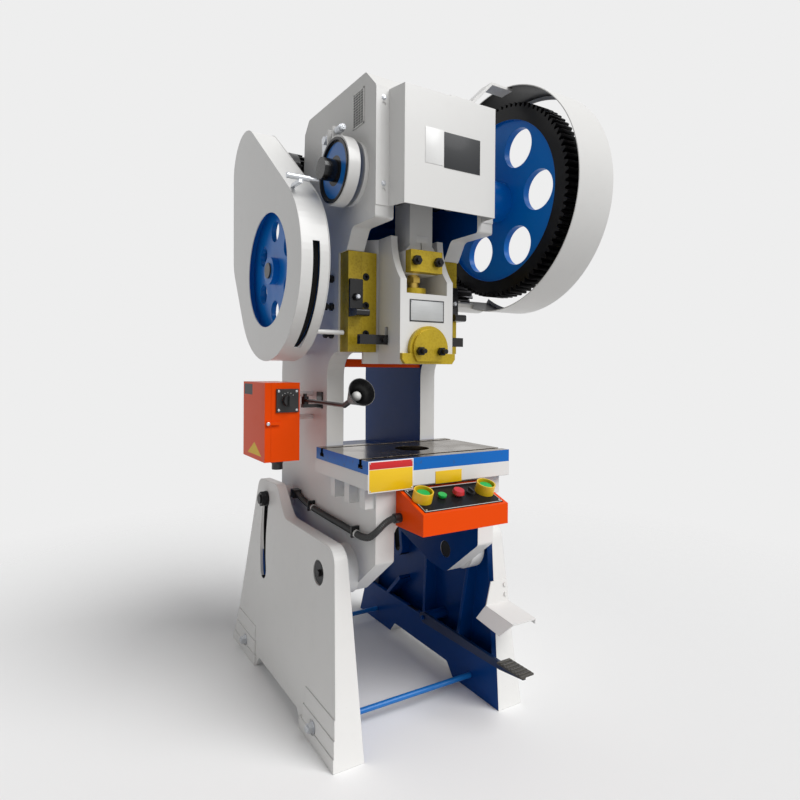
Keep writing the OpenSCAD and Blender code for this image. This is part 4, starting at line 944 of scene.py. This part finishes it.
class Pattern(Nodes):
    """One Geometry Nodes tree with named inputs, and the pieces that it makes."""

    KINDS: ClassVar[dict[type, str]] = {
        float: "NodeSocketFloat",
        int: "NodeSocketInt",
        tuple: "NodeSocketVector",
    }

    def __init__(self, name: str, **inputs: object) -> None:
        """Starts the tree.

        Args:
            name: The tree's name.
            **inputs: The default of each named input, of the input's own type.
        """
        super().__init__(bpy.data.node_groups.new(name, "GeometryNodeTree"))
        make = self.tree.interface.new_socket
        make("Geometry", in_out="INPUT", socket_type="NodeSocketGeometry")
        make("Geometry", in_out="OUTPUT", socket_type="NodeSocketGeometry")
        for label, default in inputs.items():
            make(label, in_out="INPUT", socket_type=self.KINDS[type(default)]).default_value = default
        make("Finish", in_out="INPUT", socket_type="NodeSocketMaterial")
        self.start = self.node("NodeGroupInput")

    def feed(self, target: Socket, value: object) -> None:
        """Feeds an input with a value, a socket or the tree's own input of a given name."""
        super().feed(target, self.start.outputs[value] if isinstance(value, str) else value)

    def tube(self, path: Socket, sides: object, radius: str) -> bpy.types.Node:
        """Draws a round tube along a path.

        Args:
            path: The path.
            sides: The number of the tube's sides, or the input that gives it.
            radius: The input that gives its radius.

        Returns:
            The node that draws it.
        """
        ring = self.node("GeometryNodeCurvePrimitiveCircle", {"Resolution": sides, "Radius": radius})
        return self.node("GeometryNodeCurveToMesh", {"Curve": path, "Profile Curve": ring.outputs[0],
                                                     "Fill Caps": True})

    def spread(self, item: Socket) -> Pattern:
        """Ends the tree with an item at every point, turned by the input of that name.

        Args:
            item: The item.

        Returns:
            The tree.
        """
        turn = self.node("FunctionNodeEulerToRotation", {0: "Turn"})
        placed = self.node("GeometryNodeInstanceOnPoints", {"Points": "Geometry", "Instance": item,
                                                            "Rotation": turn.outputs[0]})
        return self.end(placed.outputs[0])

    def end(self, geometry: Socket) -> Pattern:
        """Ends the tree in plain, dressed geometry.

        Args:
            geometry: What the tree has made.

        Returns:
            The tree.
        """
        real = self.node("GeometryNodeRealizeInstances", {"Geometry": geometry})
        dressed = self.node("GeometryNodeSetMaterial", {"Geometry": real.outputs[0], "Material": "Finish"})
        self.node("NodeGroupOutput", {0: dressed.outputs[0]})
        return self

    def grow(self, name: str, points: Sequence[Point], body: Body, slot: Slot, finish: bpy.types.Material,
             closed: bool | None = None, **values: object) -> bpy.types.Object:
        """Makes one piece.

        Args:
            name: The piece's name.
            points: Where the repeats stand, or the corners of the path, in millimetres.
            body: The body it rides on.
            slot: The record's slot for its finish, which is not used.
            finish: Its material.
            closed: True or False joins the points into a closed or open path, None leaves them loose.
            **values: The tree's inputs.

        Returns:
            The finished object.
        """
        data = bpy.data.meshes.new(name)
        last = len(points) - 1
        edges = [] if closed is None else [(i, i + 1) for i in range(last)] + [(last, 0)] * closed
        data.from_pydata([in_metres(*point) for point in points], edges, [])
        made = add_object(name, data)
        modifier = made.modifiers.new("pattern", "NODES")
        modifier.node_group = self.tree
        wanted = values | {"Finish": finish}
        for item in self.tree.interface.items_tree:
            if item.in_out == "INPUT" and item.name in wanted:
                modifier[item.identifier] = wanted[item.name]
        view = bpy.context.evaluated_depsgraph_get()
        plain = bpy.data.meshes.new_from_object(made.evaluated_get(view), depsgraph=view)
        made.modifiers.clear()
        made.data = plain
        plain.name = name
        plain.shade_smooth()
        plain.set_sharp_from_angle(angle=math.radians(40.0))
        return settle(made, body)


class Patterns:
    """The trees for what repeats or follows a path on the press."""

    def __init__(self) -> None:
        """Builds every tree."""
        self.heads = self._heads()
        self.slats = self._slats()
        self.bead = self._bead()
        self.ribbed = self._ribbed()
        self.coil = self._coil()

    def _heads(self) -> Pattern:
        """Builds screw and bolt heads with their washers.

        Returns:
            The tree.
        """
        tree = Pattern("bolt_heads", Radius=0.006, Height=0.005, Sides=6, Washer=0.008, Turn=(0.0, 0.0, 0.0))
        head = tree.node("GeometryNodeMeshCone", {
            "Vertices": "Sides", "Depth": "Height", "Radius Bottom": "Radius",
            "Radius Top": tree.math("MULTIPLY", "Radius", 0.84),
        }, fill_type="NGON")
        washer = tree.node("GeometryNodeMeshCylinder", {"Vertices": 24, "Radius": "Washer", "Depth": 0.0022},
                           fill_type="NGON")
        both = tree.node("GeometryNodeJoinGeometry")
        for item in (head, washer):
            tree.feed(both.inputs[0], item.outputs[0])
        return tree.spread(both.outputs[0])

    def _slats(self) -> Pattern:
        """Builds a row of slats or bars."""
        tree = Pattern("slats", Size=(0.01, 0.01, 0.01), Turn=(0.0, 0.0, 0.0))
        return tree.spread(tree.node("GeometryNodeMeshCube", {"Size": "Size"}).outputs[0])

    def _bead(self) -> Pattern:
        """Builds a round bead or wire along a path.

        Returns:
            The tree.
        """
        tree = Pattern("bead", Radius=0.002, Sides=10)
        path = tree.node("GeometryNodeMeshToCurve", {"Mesh": "Geometry"})
        return tree.end(tree.tube(path.outputs[0], "Sides", "Radius").outputs[0])

    def _ribbed(self) -> Pattern:
        """Builds a hose whose wall swells in ribs along its path.

        Returns:
            The tree.
        """
        tree = Pattern("ribbed_hose", Radius=0.011, Pitch=0.005, Depth=0.08, Step=0.00125)
        path = tree.node("GeometryNodeMeshToCurve", {"Mesh": "Geometry"})
        smooth = tree.node("GeometryNodeCurveSplineType", {"Curve": path.outputs[0]},
                           spline_type="CATMULL_ROM")
        fine = tree.node("GeometryNodeSetSplineResolution", {"Geometry": smooth.outputs[0], "Resolution": 12})
        even = tree.node("GeometryNodeResampleCurve", {"Curve": fine.outputs[0], "Length": "Step"},
                         mode="LENGTH")
        turns = tree.math("DIVIDE", tree.node("GeometryNodeSplineParameter").outputs["Length"], "Pitch")
        wave = tree.math("COSINE", tree.math("MULTIPLY", turns, math.tau))
        size = tree.math("ADD", tree.math("MULTIPLY", wave, "Depth"), 0.92)
        sized = tree.node("GeometryNodeSetCurveRadius", {"Curve": even.outputs[0], "Radius": size})
        tube = tree.tube(sized.outputs[0], 18, "Radius")
        tree.feed(tube.inputs["Scale"], size)
        return tree.end(tube.outputs[0])

    def _coil(self) -> Pattern:
        """Builds a wound spring at each point, along the turned Z axis.

        Returns:
            The tree.
        """
        tree = Pattern("coil_spring", Turns=6.0, Radius=0.011, Length=0.03, Wire=0.0016, Turn=(0.0, 0.0, 0.0))
        spiral = tree.node("GeometryNodeCurveSpiral", {
            "Resolution": 28, "Rotations": "Turns", "Start Radius": "Radius", "End Radius": "Radius",
            "Height": "Length",
        })
        return tree.spread(tree.tube(spiral.outputs[0], 8, "Wire").outputs[0])


# Sub-assemblies


@dataclass(frozen=True)
class Plate:
    """A thin bare plate on a face that is turned to the front. Its sizes are in millimetres.

    Attributes:
        name: The piece's name.
        area: Its left, low, right and high edges.
        finish: The finish's name.
        slot: The record's slot for the finish.
        stand: How far its front and its back stand off the face.
    """

    name: str
    area: tuple[float, float, float, float]
    finish: str
    slot: Slot
    stand: tuple[float, float] = (1.2, 0.0)


@dataclass
class Assembly:
    """A part of the press that is dressed in one go. Its sizes are in millimetres.

    Attributes:
        finishes: The materials.
        patterns: The Geometry Nodes trees.
        nodes: The solid pieces by name.
        WEAR: For each finish's name, the names of the solid pieces that wear it.
    """

    WEAR = {}

    finishes: Finishes
    patterns: Patterns
    nodes: dict[str, bpy.types.Object]

    def build(self) -> None:
        """Dresses the solid pieces and adds the small ones."""
        for finish, names in self.WEAR.items():
            for name in names:
                slots = self.nodes[name].data.materials
                slots.clear()
                slots.append(self.finishes[finish])
                LOG.info("%s: %s", name, finish)
        self.add_details()

    def add_details(self) -> None:
        """Adds the small pieces."""
        raise NotImplementedError

    def add_plates(self, face: float, body: Body, *plates: Plate) -> None:
        """Adds plates.

        Args:
            face: Where the face that carries them lies along Y.
            body: The body they ride on.
            *plates: The plates.
        """
        for plate in plates:
            (left, low, right, high), (front, back) = plate.area, plate.stand
            block = Shape().block((left, face - front, low), (right, face - back, high), 0.4)
            block.piece(plate.name, self.finishes[plate.finish], body, plate.slot)

    def rivets(self, name: str, plate: Plate, face: float, body: Body, inset: float, radius: float) -> None:
        """Adds a rivet in each corner of a plate.

        Args:
            name: The piece's name.
            plate: The plate.
            face: Where the face that carries it lies along Y.
            body: The body they ride on.
            inset: How far they stand from the plate's edges.
            radius: The head's radius.
        """
        left, low, right, high = plate.area
        places = [(x, face - 1.4, z) for x in (left + inset, right - inset)
                  for z in (low + inset, high - inset)]
        self.screws(name, places, radius, 1.8, 12, body=body)

    def bead(self, name: str, path: Sequence[Point], radius: float, body: Body, slot: Slot, finish: str,
             sides: int = 10) -> None:
        """Adds a round bead along a closed path.

        Args:
            name: The piece's name.
            path: The path's corners.
            radius: The bead's radius.
            body: The body it rides on.
            slot: The record's slot for its finish.
            finish: The finish's name.
            sides: The number of its sides.
        """
        self.patterns.bead.grow(name, path, body, slot, self.finishes[finish], closed=True,
                                Radius=radius * MM, Sides=sides)

    def screws(self, name: str, points: Sequence[Point], radius: float, height: float, sides: int,
               washer: float = 1.02, body: Body = Body.FRAME, turn: Point = TO_FRONT,
               finish: str = "zinc_steel", slot: Slot = Slot.ZINC) -> None:
        """Adds one piece of screw heads.

        Args:
            name: The piece's name.
            points: Where they stand.
            radius: The head's radius.
            height: The head's height.
            sides: 6 for a hexagon and more for a round head.
            washer: The washer's radius over the head's.
            body: The body they ride on.
            turn: The rotation that takes Z to the screws' axis.
            finish: The finish's name.
            slot: The record's slot for the finish.
        """
        self.patterns.heads.grow(name, points, body, slot, self.finishes[finish], Radius=radius * MM,
                                 Height=height * MM, Sides=sides, Washer=radius * washer * MM, Turn=turn)


@dataclass
class Stand(Assembly):
    """The two cast legs, their tie rods and the pedal with its guard."""

    WEAR = {
        "leg_enamel": ("left_leg", "right_leg"),
        "rod_enamel": ("tie_rods",),
        "zinc_steel": ("tie_rod_nuts",),
        "sheet_enamel": ("pedal_guard",),
        "black_oxide": ("tilt_lock_bolts", "pivot_pins"),
        "pedal_enamel": ("foot_pedal",),
    }

    pad_front: float = -322.0
    pad_top: float = 208.6
    pedal_x: float = 231.0
    stud_columns: tuple[float, ...] = (-8.0, 4.0, 16.0, 28.0)
    stud_rows: int = 5
    stud_inset: float = 19.0
    stud_pitch: float = 18.0

    def add_details(self) -> None:
        """Covers the pedal's pad with rows of raised studs."""
        first = self.pad_front + self.stud_inset
        studs = [(self.pedal_x + across, first + row * self.stud_pitch, self.pad_top)
                 for row in range(self.stud_rows) for across in self.stud_columns]
        self.screws("pedal_studs", studs, 2.6, 1.6, 10, body=Body.PEDAL, turn=(0.0, 0.0, 0.0),
                    finish="cast_iron", slot=Slot.OXIDE)


@dataclass
class PressFrame(Assembly):
    """The C-shaped casting with its bed, bolster, gibs and head."""

    WEAR = {
        "frame_enamel": ("c_frame",),
        "bolster_steel": ("bolster_plate",),
        "gold_hammer_paint": ("left_gib", "right_gib", "gib_bars"),
        "black_oxide": ("gib_bolts",),
        "shaft_paint": ("knockout_stops",),
        "orange_enamel": ("throat_bar",),
        "white_enamel": ("shaft_bearings", "motor_plate", "guard_brackets", "crank_bushes"),
    }

    half_width: float = 235.0
    bed_face: float = -187.2
    louvre_y: tuple[float, float] = (-69.0, 6.0)
    louvre_z: tuple[float, float] = (1984.0, 2100.0)
    louvre_rim: float = 5.0
    louvre_slats: int = 12

    def add_details(self) -> None:
        """Adds the louvre and the bare sign plates."""
        self.louvre()
        self.signs()

    def louvre(self) -> None:
        """Adds the slatted vent on the head's left cheek."""
        face, rim = -self.half_width, self.louvre_rim
        (front, rear), (low, high) = self.louvre_y, self.louvre_z
        edging = Shape()
        for near, far in (((front, low), (rear, low + rim)), ((front, high - rim), (rear, high)),
                          ((front, low), (front + rim, high)), ((rear - rim, low), (rear, high))):
            edging.block((face - 3.0, *near), (face - 0.2, *far), 0.5)
        sheet = self.finishes["sheet_enamel"]
        edging.piece("louvre_rim", sheet, Body.FRAME, Slot.WHITE)
        back = Shape().block((face - 0.8, front + 1.0, low + 1.0), (face - 0.2, rear - 1.0, high - 1.0), 0.1)
        back.piece("louvre_shadow", self.finishes["slate_field"], Body.FRAME, Slot.BLACK)
        middle, pitch = (front + rear) / 2.0, (high - low - 12.0) / self.louvre_slats
        rows = [(face - 2.2, middle, low + 6.0 + pitch * (i + 0.5)) for i in range(self.louvre_slats)]
        width, height = rear - front - 8.0, high - low - 8.0
        self.patterns.slats.grow("louvre_slats", rows, Body.FRAME, Slot.WHITE, sheet,
                                 Size=(3.6 * MM, width * MM, 2.2 * MM), Turn=(0.0, math.radians(-30.0), 0.0))
        bars = [(face - 2.0, middle + width * part, (low + high) / 2.0) for part in (-0.25, 0.0, 0.25)]
        self.patterns.slats.grow("louvre_bars", bars, Body.FRAME, Slot.WHITE, sheet,
                                 Size=(2.4 * MM, 1.8 * MM, height * MM))

    def signs(self) -> None:
        """Adds the bare sign plates on the bed and the bolster."""
        inlay = (1.7, 1.0)
        sign = Plate("bed_sign", (-278.0, 827.0, -117.0, 923.0), "pale_field", Slot.WHITE, (1.4, 0.0))
        self.add_plates(
            self.bed_face, Body.FRAME, sign,
            Plate("bed_sign_field", (-275.0, 830.0, -120.0, 897.0), "yellow_field", Slot.YELLOW, inlay),
            Plate("bed_sign_band", (-275.0, 898.0, -120.0, 920.0), "red_field", Slot.YELLOW, inlay),
            Plate("bed_label", (-32.0, 834.0, 73.0, 874.0), "yellow_field", Slot.YELLOW),
        )
        self.rivets("bed_sign_rivets", sign, self.bed_face, Body.FRAME, 6.0, 2.2)


@dataclass
class RamDrive(Assembly):
    """The crank, its rod and brake, and the ram that they drive."""

    WEAR = {
        "shaft_paint": ("crankshaft", "knockout_bar"),
        "drum_enamel": ("brake_drum",),
        "white_enamel": ("brake_band", "connecting_rod", "rod_cap", "ram"),
        "zinc_steel": ("brake_bracket", "brake_tensioner", "position_sensor"),
        "gold_hammer_paint": ("clamp_block", "ball_cap", "shank_clamp"),
        "black_oxide": ("clamp_bolts", "shank_clamp_nuts"),
        "brass": ("ball_screw",),
    }

    spring_at: Point = (-291.0, 10.0, 1973.0)
    spring_turns: float = 7.0
    ram_face: float = -87.2
    rod_face: float = -48.1
    stop_bolt: Point = (202.7, 25.8, 1443.0)

    def add_details(self) -> None:
        """Adds the brake's spring, the riveted data plates and the caps on the knock-out stops' bolts."""
        self.patterns.coil.grow("brake_spring", [self.spring_at], Body.FRAME, Slot.ZINC,
                                self.finishes["zinc_steel"], Turns=self.spring_turns, Radius=11.0 * MM,
                                Length=31.0 * MM, Wire=1.7 * MM, Turn=TO_FRONT)
        sign = Plate("ram_plate", (-70.0, 1359.0, 69.0, 1433.0), "slate_field", Slot.BLACK)
        inlay = Plate("ram_plate_field", (-66.0, 1363.0, 65.0, 1429.0), "plate_steel", Slot.ZINC, (1.6, 1.0))
        self.add_plates(self.ram_face, Body.RAM, sign, inlay)
        self.rivets("ram_plate_rivets", sign, self.ram_face, Body.RAM, 7.0, 2.4)
        label = Plate("rod_label", (-20.0, 1632.0, 30.0, 1655.0), "pale_field", Slot.WHITE, (1.1, 0.0))
        self.add_plates(self.rod_face, Body.ROD, label)
        x, y, z = self.stop_bolt
        self.screws("stop_bolt_caps", [(-x, y, z), (x, y, z)], 7.5, 5.0, 24, 1.05)


@dataclass
class GearDrive(Assembly):
    """The motor, its belts, the flywheel and the two gears."""

    WEAR = {
        "gear_enamel": ("bull_gear",),
        "pinion_steel": ("pinion_shaft",),
        "wheel_enamel": ("flywheel",),
        "turned_steel": ("motor_pulley",),
        "belt_rubber": ("drive_belts",),
        "black_enamel": ("motor_housing",),
    }

    motor_y: float = 545.0
    motor_z: float = 1972.0
    motor_end: float = 70.0
    fan_rings: tuple[float, ...] = (22.0, 40.0, 58.0, 76.0)

    def add_details(self) -> None:
        """Adds the wire rings over the motor's fan."""
        for number, radius in enumerate(self.fan_rings):
            ring = [(self.motor_end + 1.4, y, z) for y, z in ring_of(self.motor_y, self.motor_z, radius)]
            self.bead(f"fan_ring_{number}", ring, 1.5, Body.FRAME, Slot.BLACK, "black_enamel", 8)


@dataclass
class Guards(Assembly):
    """The sheet guards over the gears, the belts and the crank."""

    WEAR = {
        "ring_guard_enamel": ("gear_guard",),
        "sheet_enamel": ("belt_guard", "front_guard"),
    }

    belt_x: float = -433.0
    belt_w: float = 98.0
    belt_circles: tuple[Point, ...] = (
        (283.94, 1545.0, 318.0),
        (545.0, 1640.0, 141.0),
        (545.0, 1972.0, 146.0),
    )
    hat_face: float = -220.2
    flange_face: float = -145.4
    flange_x: float = 207.0
    flange_z: tuple[float, float] = (1776.0, 2042.0)

    def add_details(self) -> None:
        """Adds the belt guard's rolled edges, and the front guard's screws and bare plates."""
        outline = wrapped(self.belt_circles, 0.4)
        for name, x in (("belt_bead_outer", self.belt_x + 1.2),
                        ("belt_bead_inner", self.belt_x + self.belt_w - 1.2)):
            self.bead(name, [(x, y, z) for y, z in outline], 1.8, Body.FRAME, Slot.WHITE, "sheet_enamel")
        places = [(x, self.flange_face, z) for x in (-self.flange_x, self.flange_x) for z in self.flange_z]
        self.screws("front_guard_screws", places, 6.5, 4.5, 20, 1.25)
        self.add_plates(
            self.hat_face, Body.FRAME,
            Plate("head_plate_dark", (-31.0, 1835.0, 113.0, 1947.0), "slate_field", Slot.BLACK),
            Plate("head_plate_pale", (-103.0, 1839.0, -33.0, 1950.0), "pale_field", Slot.WHITE, (1.0, 0.0)),
        )


@dataclass
class Controls(Assembly):
    """The two-hand control box with its hose, the cabinet and the lamp."""

    WEAR = {
        "control_enamel": ("control_box",),
        "orange_enamel": ("cabinet_body",),
        "door_enamel": ("cabinet_door",),
        "yellow_plastic": ("button_collars",),
        "green_plastic": ("left_palm_button", "right_palm_button", "start_button"),
        "red_plastic": ("stop_button",),
        "black_plastic": ("mode_switch", "main_switch", "cabinet_fittings", "hose_fittings"),
        "black_enamel": ("lamp_bracket", "lamp_arm"),
    }

    box_front: float = -312.0
    box_edge_z: float = 776.0
    slope: float = math.radians(19.69)
    panel: tuple[float, float, float] = (147.0, 13.0, 135.0)
    panel_inset: tuple[float, float] = (7.0, 6.0)
    hose_r: float = 11.0
    tie_width: float = 5.0
    ties_at: tuple[Point, ...] = ((-250.0, -65.0, 674.0), (-250.0, 276.0, 685.6))
    cabinet_front: float = 180.0
    switch_at: tuple[float, float] = (-393.0, 1090.0)
    switch_half: float = 32.0
    mark_ring: float = 27.0
    mark_turns: tuple[float, ...] = (-0.8, -0.4, 0.0, 0.4, 0.8)
    lock_at: tuple[float, float] = (-462.0, 1013.0)
    lamp_head: Point = (-296.0, -63.0, 1085.0)
    lamp_tilt: float = 68.0
    rim_r: float = 42.6
    rim_out: float = 124.0
    route: tuple[Point, ...] = (
        (-186, -186, 742), (-200, -186, 739), (-216, -185, 731), (-230, -181, 718), (-241, -172, 703),
        (-248, -158, 690), (-250, -140, 681), (-250, -118, 676), (-250, -90, 673), (-250, -50, 674),
        (-250, 0, 676), (-250, 60, 678), (-250, 120, 679), (-250, 180, 681), (-250, 240, 683),
        (-250, 301, 686), (-250, 350, 692), (-250, 392, 700), (-250, 430, 708),
    )

    def add_details(self) -> None:
        """Adds the small pieces."""
        self.hose()
        self.panel_trim()
        self.cabinet_details()
        self.lamp_details()

    def hose(self) -> None:
        """Replaces the hose with one whose ribs show, and ties it to its clips."""
        made = self.patterns.ribbed.grow("ribbed_hose", self.route, Body.FRAME, Slot.RUBBER,
                                         self.finishes["black_rubber"], closed=False, Radius=self.hose_r * MM,
                                         Pitch=5.2 * MM, Depth=0.07, Step=1.3 * MM)
        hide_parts("control_hose")
        outer, inner, end = self.hose_r + 1.6, self.hose_r - 1.0, self.tie_width
        profile = [(0.0, 0.0), (0.0, inner), (0.3, outer), (end - 0.3, outer), (end, inner), (end, 0.0)]
        ties = Shape()
        for place in self.ties_at:
            ties.lathe(profile, place, Matrix.Rotation(math.radians(-90.0), 3, "X"), 28)
        ties.piece("hose_ties", self.finishes["white_plastic"], Body.FRAME, Slot.PLASTIC)

    def on_slope(self, x: float, along: float, rise: float) -> Point:
        """Finds a place on the control box's sloping top."""
        sin, cos = math.sin(self.slope), math.cos(self.slope)
        return x, self.box_front + along * cos - rise * sin, self.box_edge_z + along * sin + rise * cos

    def panel_trim(self) -> None:
        """Adds the pale line round the panel and the screws in its corners."""
        half, low, high = self.panel
        outline = ((-half, low), (half, low), (half, high), (-half, high))
        corners = [self.on_slope(x, y, 2.1) for x, y in outline]
        self.bead("panel_trim", corners, 1.3, Body.FRAME, Slot.WHITE, "white_plastic", 6)
        side, end = self.panel_inset
        spots = [self.on_slope(x, y, 3.0) for x in (side - half, half - side)
                 for y in (low + end, high - end)]
        self.screws("panel_screws", spots, 3.0, 2.0, 16, turn=(self.slope, 0.0, 0.0))

    def cabinet_details(self) -> None:
        """Adds the screws and marks of the main switch's plate and the door's lock."""
        (x, z), face, ring = self.switch_at, self.cabinet_front, self.mark_ring
        sides = (-self.switch_half, self.switch_half)
        corners = [(x + across, face - 6.6, z + up) for across in sides for up in sides]
        self.screws("switch_screws", corners, 3.4, 2.2, 20, 1.25)
        marks = [(x + ring * math.sin(turn), face - 6.4, z + ring * math.cos(turn))
                 for turn in self.mark_turns]
        self.screws("switch_marks", marks, 1.2, 1.0, 10, finish="white_plastic", slot=Slot.WHITE)
        profile = [(0.0, 0.0), (0.0, 6.0), (2.0, 6.0), (2.6, 5.0), (2.6, 2.2), (1.2, 2.0), (1.2, 0.0)]
        place = (self.lock_at[0], face - 7.6, self.lock_at[1])
        lock = Shape().lathe(profile, place, Matrix.Rotation(TO_FRONT[0], 3, "X"), 28)
        lock.piece("door_lock", self.finishes["zinc_steel"], Body.DOOR, Slot.ZINC)

    def lamp_details(self) -> None:
        """Adds the lamp's bulb and the rolled rim of its shade."""
        turn = Matrix.Rotation(math.radians(self.lamp_tilt), 3, "X")
        profile = [(61.0, 0.0), (61.0, 7.0), (68.0, 7.6), (74.0, 10.0), (80.0, 13.5), (87.0, 15.0),
                   (94.0, 13.0), (99.0, 8.0), (101.0, 0.0)]
        bulb = Shape().lathe(profile, self.lamp_head, turn, 36)
        bulb.piece("lamp_bulb", self.finishes["white_plastic"], Body.LAMP, Slot.WHITE)
        ring = ring_of(0.0, 0.0, self.rim_r)
        rim = [Vector(self.lamp_head) + turn @ Vector((x, y, self.rim_out)) for x, y in ring]
        self.bead("lamp_rim", rim, 1.5, Body.LAMP, Slot.BLACK, "black_enamel")


# Studio


@dataclass
class Studio:
    """The camera, the floor and the lamps. Its sizes are in metres and radians."""

    place: Point = (-1.125, -2.0845, 1.204)
    yaw: float = 0.539
    pitch: float = -0.006
    roll: float = 0.007
    lens: float = 26.4126
    shift: tuple[float, float] = (0.01403, -0.0357)
    floor_half: float = 9.0
    floor_centre: Point = (0.25, 0.0, 0.0)
    floor_pale: Colour = (0.90, 0.90, 0.90)
    floor_dim: Colour = (0.86, 0.86, 0.87)
    fade: tuple[float, float] = (1.2, 3.2)
    ambient: float = 0.35
    backdrop: float = 0.855
    key_strength: float = 2.5
    key_spread: float = 0.75
    key_from: Point = (0.5, -0.95, 1.05)

    def build(self) -> None:
        """Sets up the studio."""
        self.camera()
        self.floor()
        self.lamps()
        bpy.context.scene.view_settings.view_transform = "Standard"
        LOG.info("studio ready")

    def camera(self) -> None:
        """Places the camera at the photograph's viewpoint."""
        data = bpy.data.cameras.new("camera")
        data.sensor_width, data.lens = 36.0, self.lens
        data.shift_x, data.shift_y = self.shift
        data.clip_end = 100.0
        level = math.cos(self.pitch)
        ahead = Vector((math.sin(self.yaw) * level, math.cos(self.yaw) * level, math.sin(self.pitch)))
        right = Vector((math.cos(self.yaw), -math.sin(self.yaw), 0.0))
        up = right.cross(ahead)
        cos_r, sin_r = math.cos(self.roll), math.sin(self.roll)
        across, above = cos_r * right + sin_r * up, cos_r * up - sin_r * right
        turn = Matrix((across, above, -ahead)).transposed().to_4x4()
        camera = add_object("camera", data)
        camera.matrix_world = Matrix.Translation(Vector(self.place)) @ turn
        bpy.context.scene.camera = camera

    def floor(self) -> None:
        """Lays the pale floor, which fades into the backdrop."""
        half = self.floor_half
        data = bpy.data.meshes.new("floor")
        corners = [(-half, -half, 0.0), (half, -half, 0.0), (half, half, 0.0), (-half, half, 0.0)]
        data.from_pydata(corners, [], [(0, 1, 2, 3)])
        made = add_object("floor", data)
        bench = Bench("studio_floor")
        colour = bench.mix(bench.times(bench.noise(1.2, 3.0), 0.04), self.floor_pale, self.floor_dim)
        data.materials.append(bench.surface(colour, 0.85, specular=0.0))
        shader = bench.tree.nodes["Principled BSDF"]
        clear = bench.node("ShaderNodeBsdfTransparent")
        away = bench.ramp(bench.radius(self.floor_centre, 2), *self.fade)
        fade = bench.node("ShaderNodeMixShader", {0: away, 1: shader.outputs[0], 2: clear.outputs[0]})
        bench.feed(bench.tree.nodes["Material Output"].inputs[0], fade.outputs[0])

    def lamps(self) -> None:
        """Lights the press softly from the front, right and above."""
        world = bpy.data.worlds.new("studio")
        bpy.context.scene.world = world
        world.use_nodes = True
        bench = Nodes(world.node_tree)
        bench.tree.nodes.clear()
        rays = bench.node("ShaderNodeLightPath").outputs
        seen = bench.math("MAXIMUM", rays["Is Camera Ray"], rays["Is Transmission Ray"])
        mirrored = bench.math("MAXIMUM", seen, rays["Is Glossy Ray"])
        level = bench.node("ShaderNodeMapRange", {"To Min": self.ambient, "To Max": self.backdrop,
                                                  "Value": mirrored})
        shine = bench.node("ShaderNodeBackground", {"Color": (1.0, 1.0, 1.0), "Strength": level.outputs[0]})
        bench.node("ShaderNodeOutputWorld", {0: shine.outputs[0]})
        key = bpy.data.lights.new("key", "SUN")
        key.energy, key.angle = self.key_strength, self.key_spread
        add_object("key", key).rotation_euler = Vector(self.key_from).to_track_quat("Z", "Y").to_euler()


def main() -> None:
    """Dresses the press and sets up the studio."""
    logging.basicConfig(level=logging.INFO, format="%(name)s: %(message)s")
    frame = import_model()
    finishes, patterns = Finishes().mix(), Patterns()
    for kind in (Stand, PressFrame, RamDrive, GearDrive, Guards, Controls):
        kind(finishes, patterns, frame["nodes"]).build()
        LOG.info("%s built", kind.__name__)
    Studio().build()


if __name__ == "__main__":
    main()
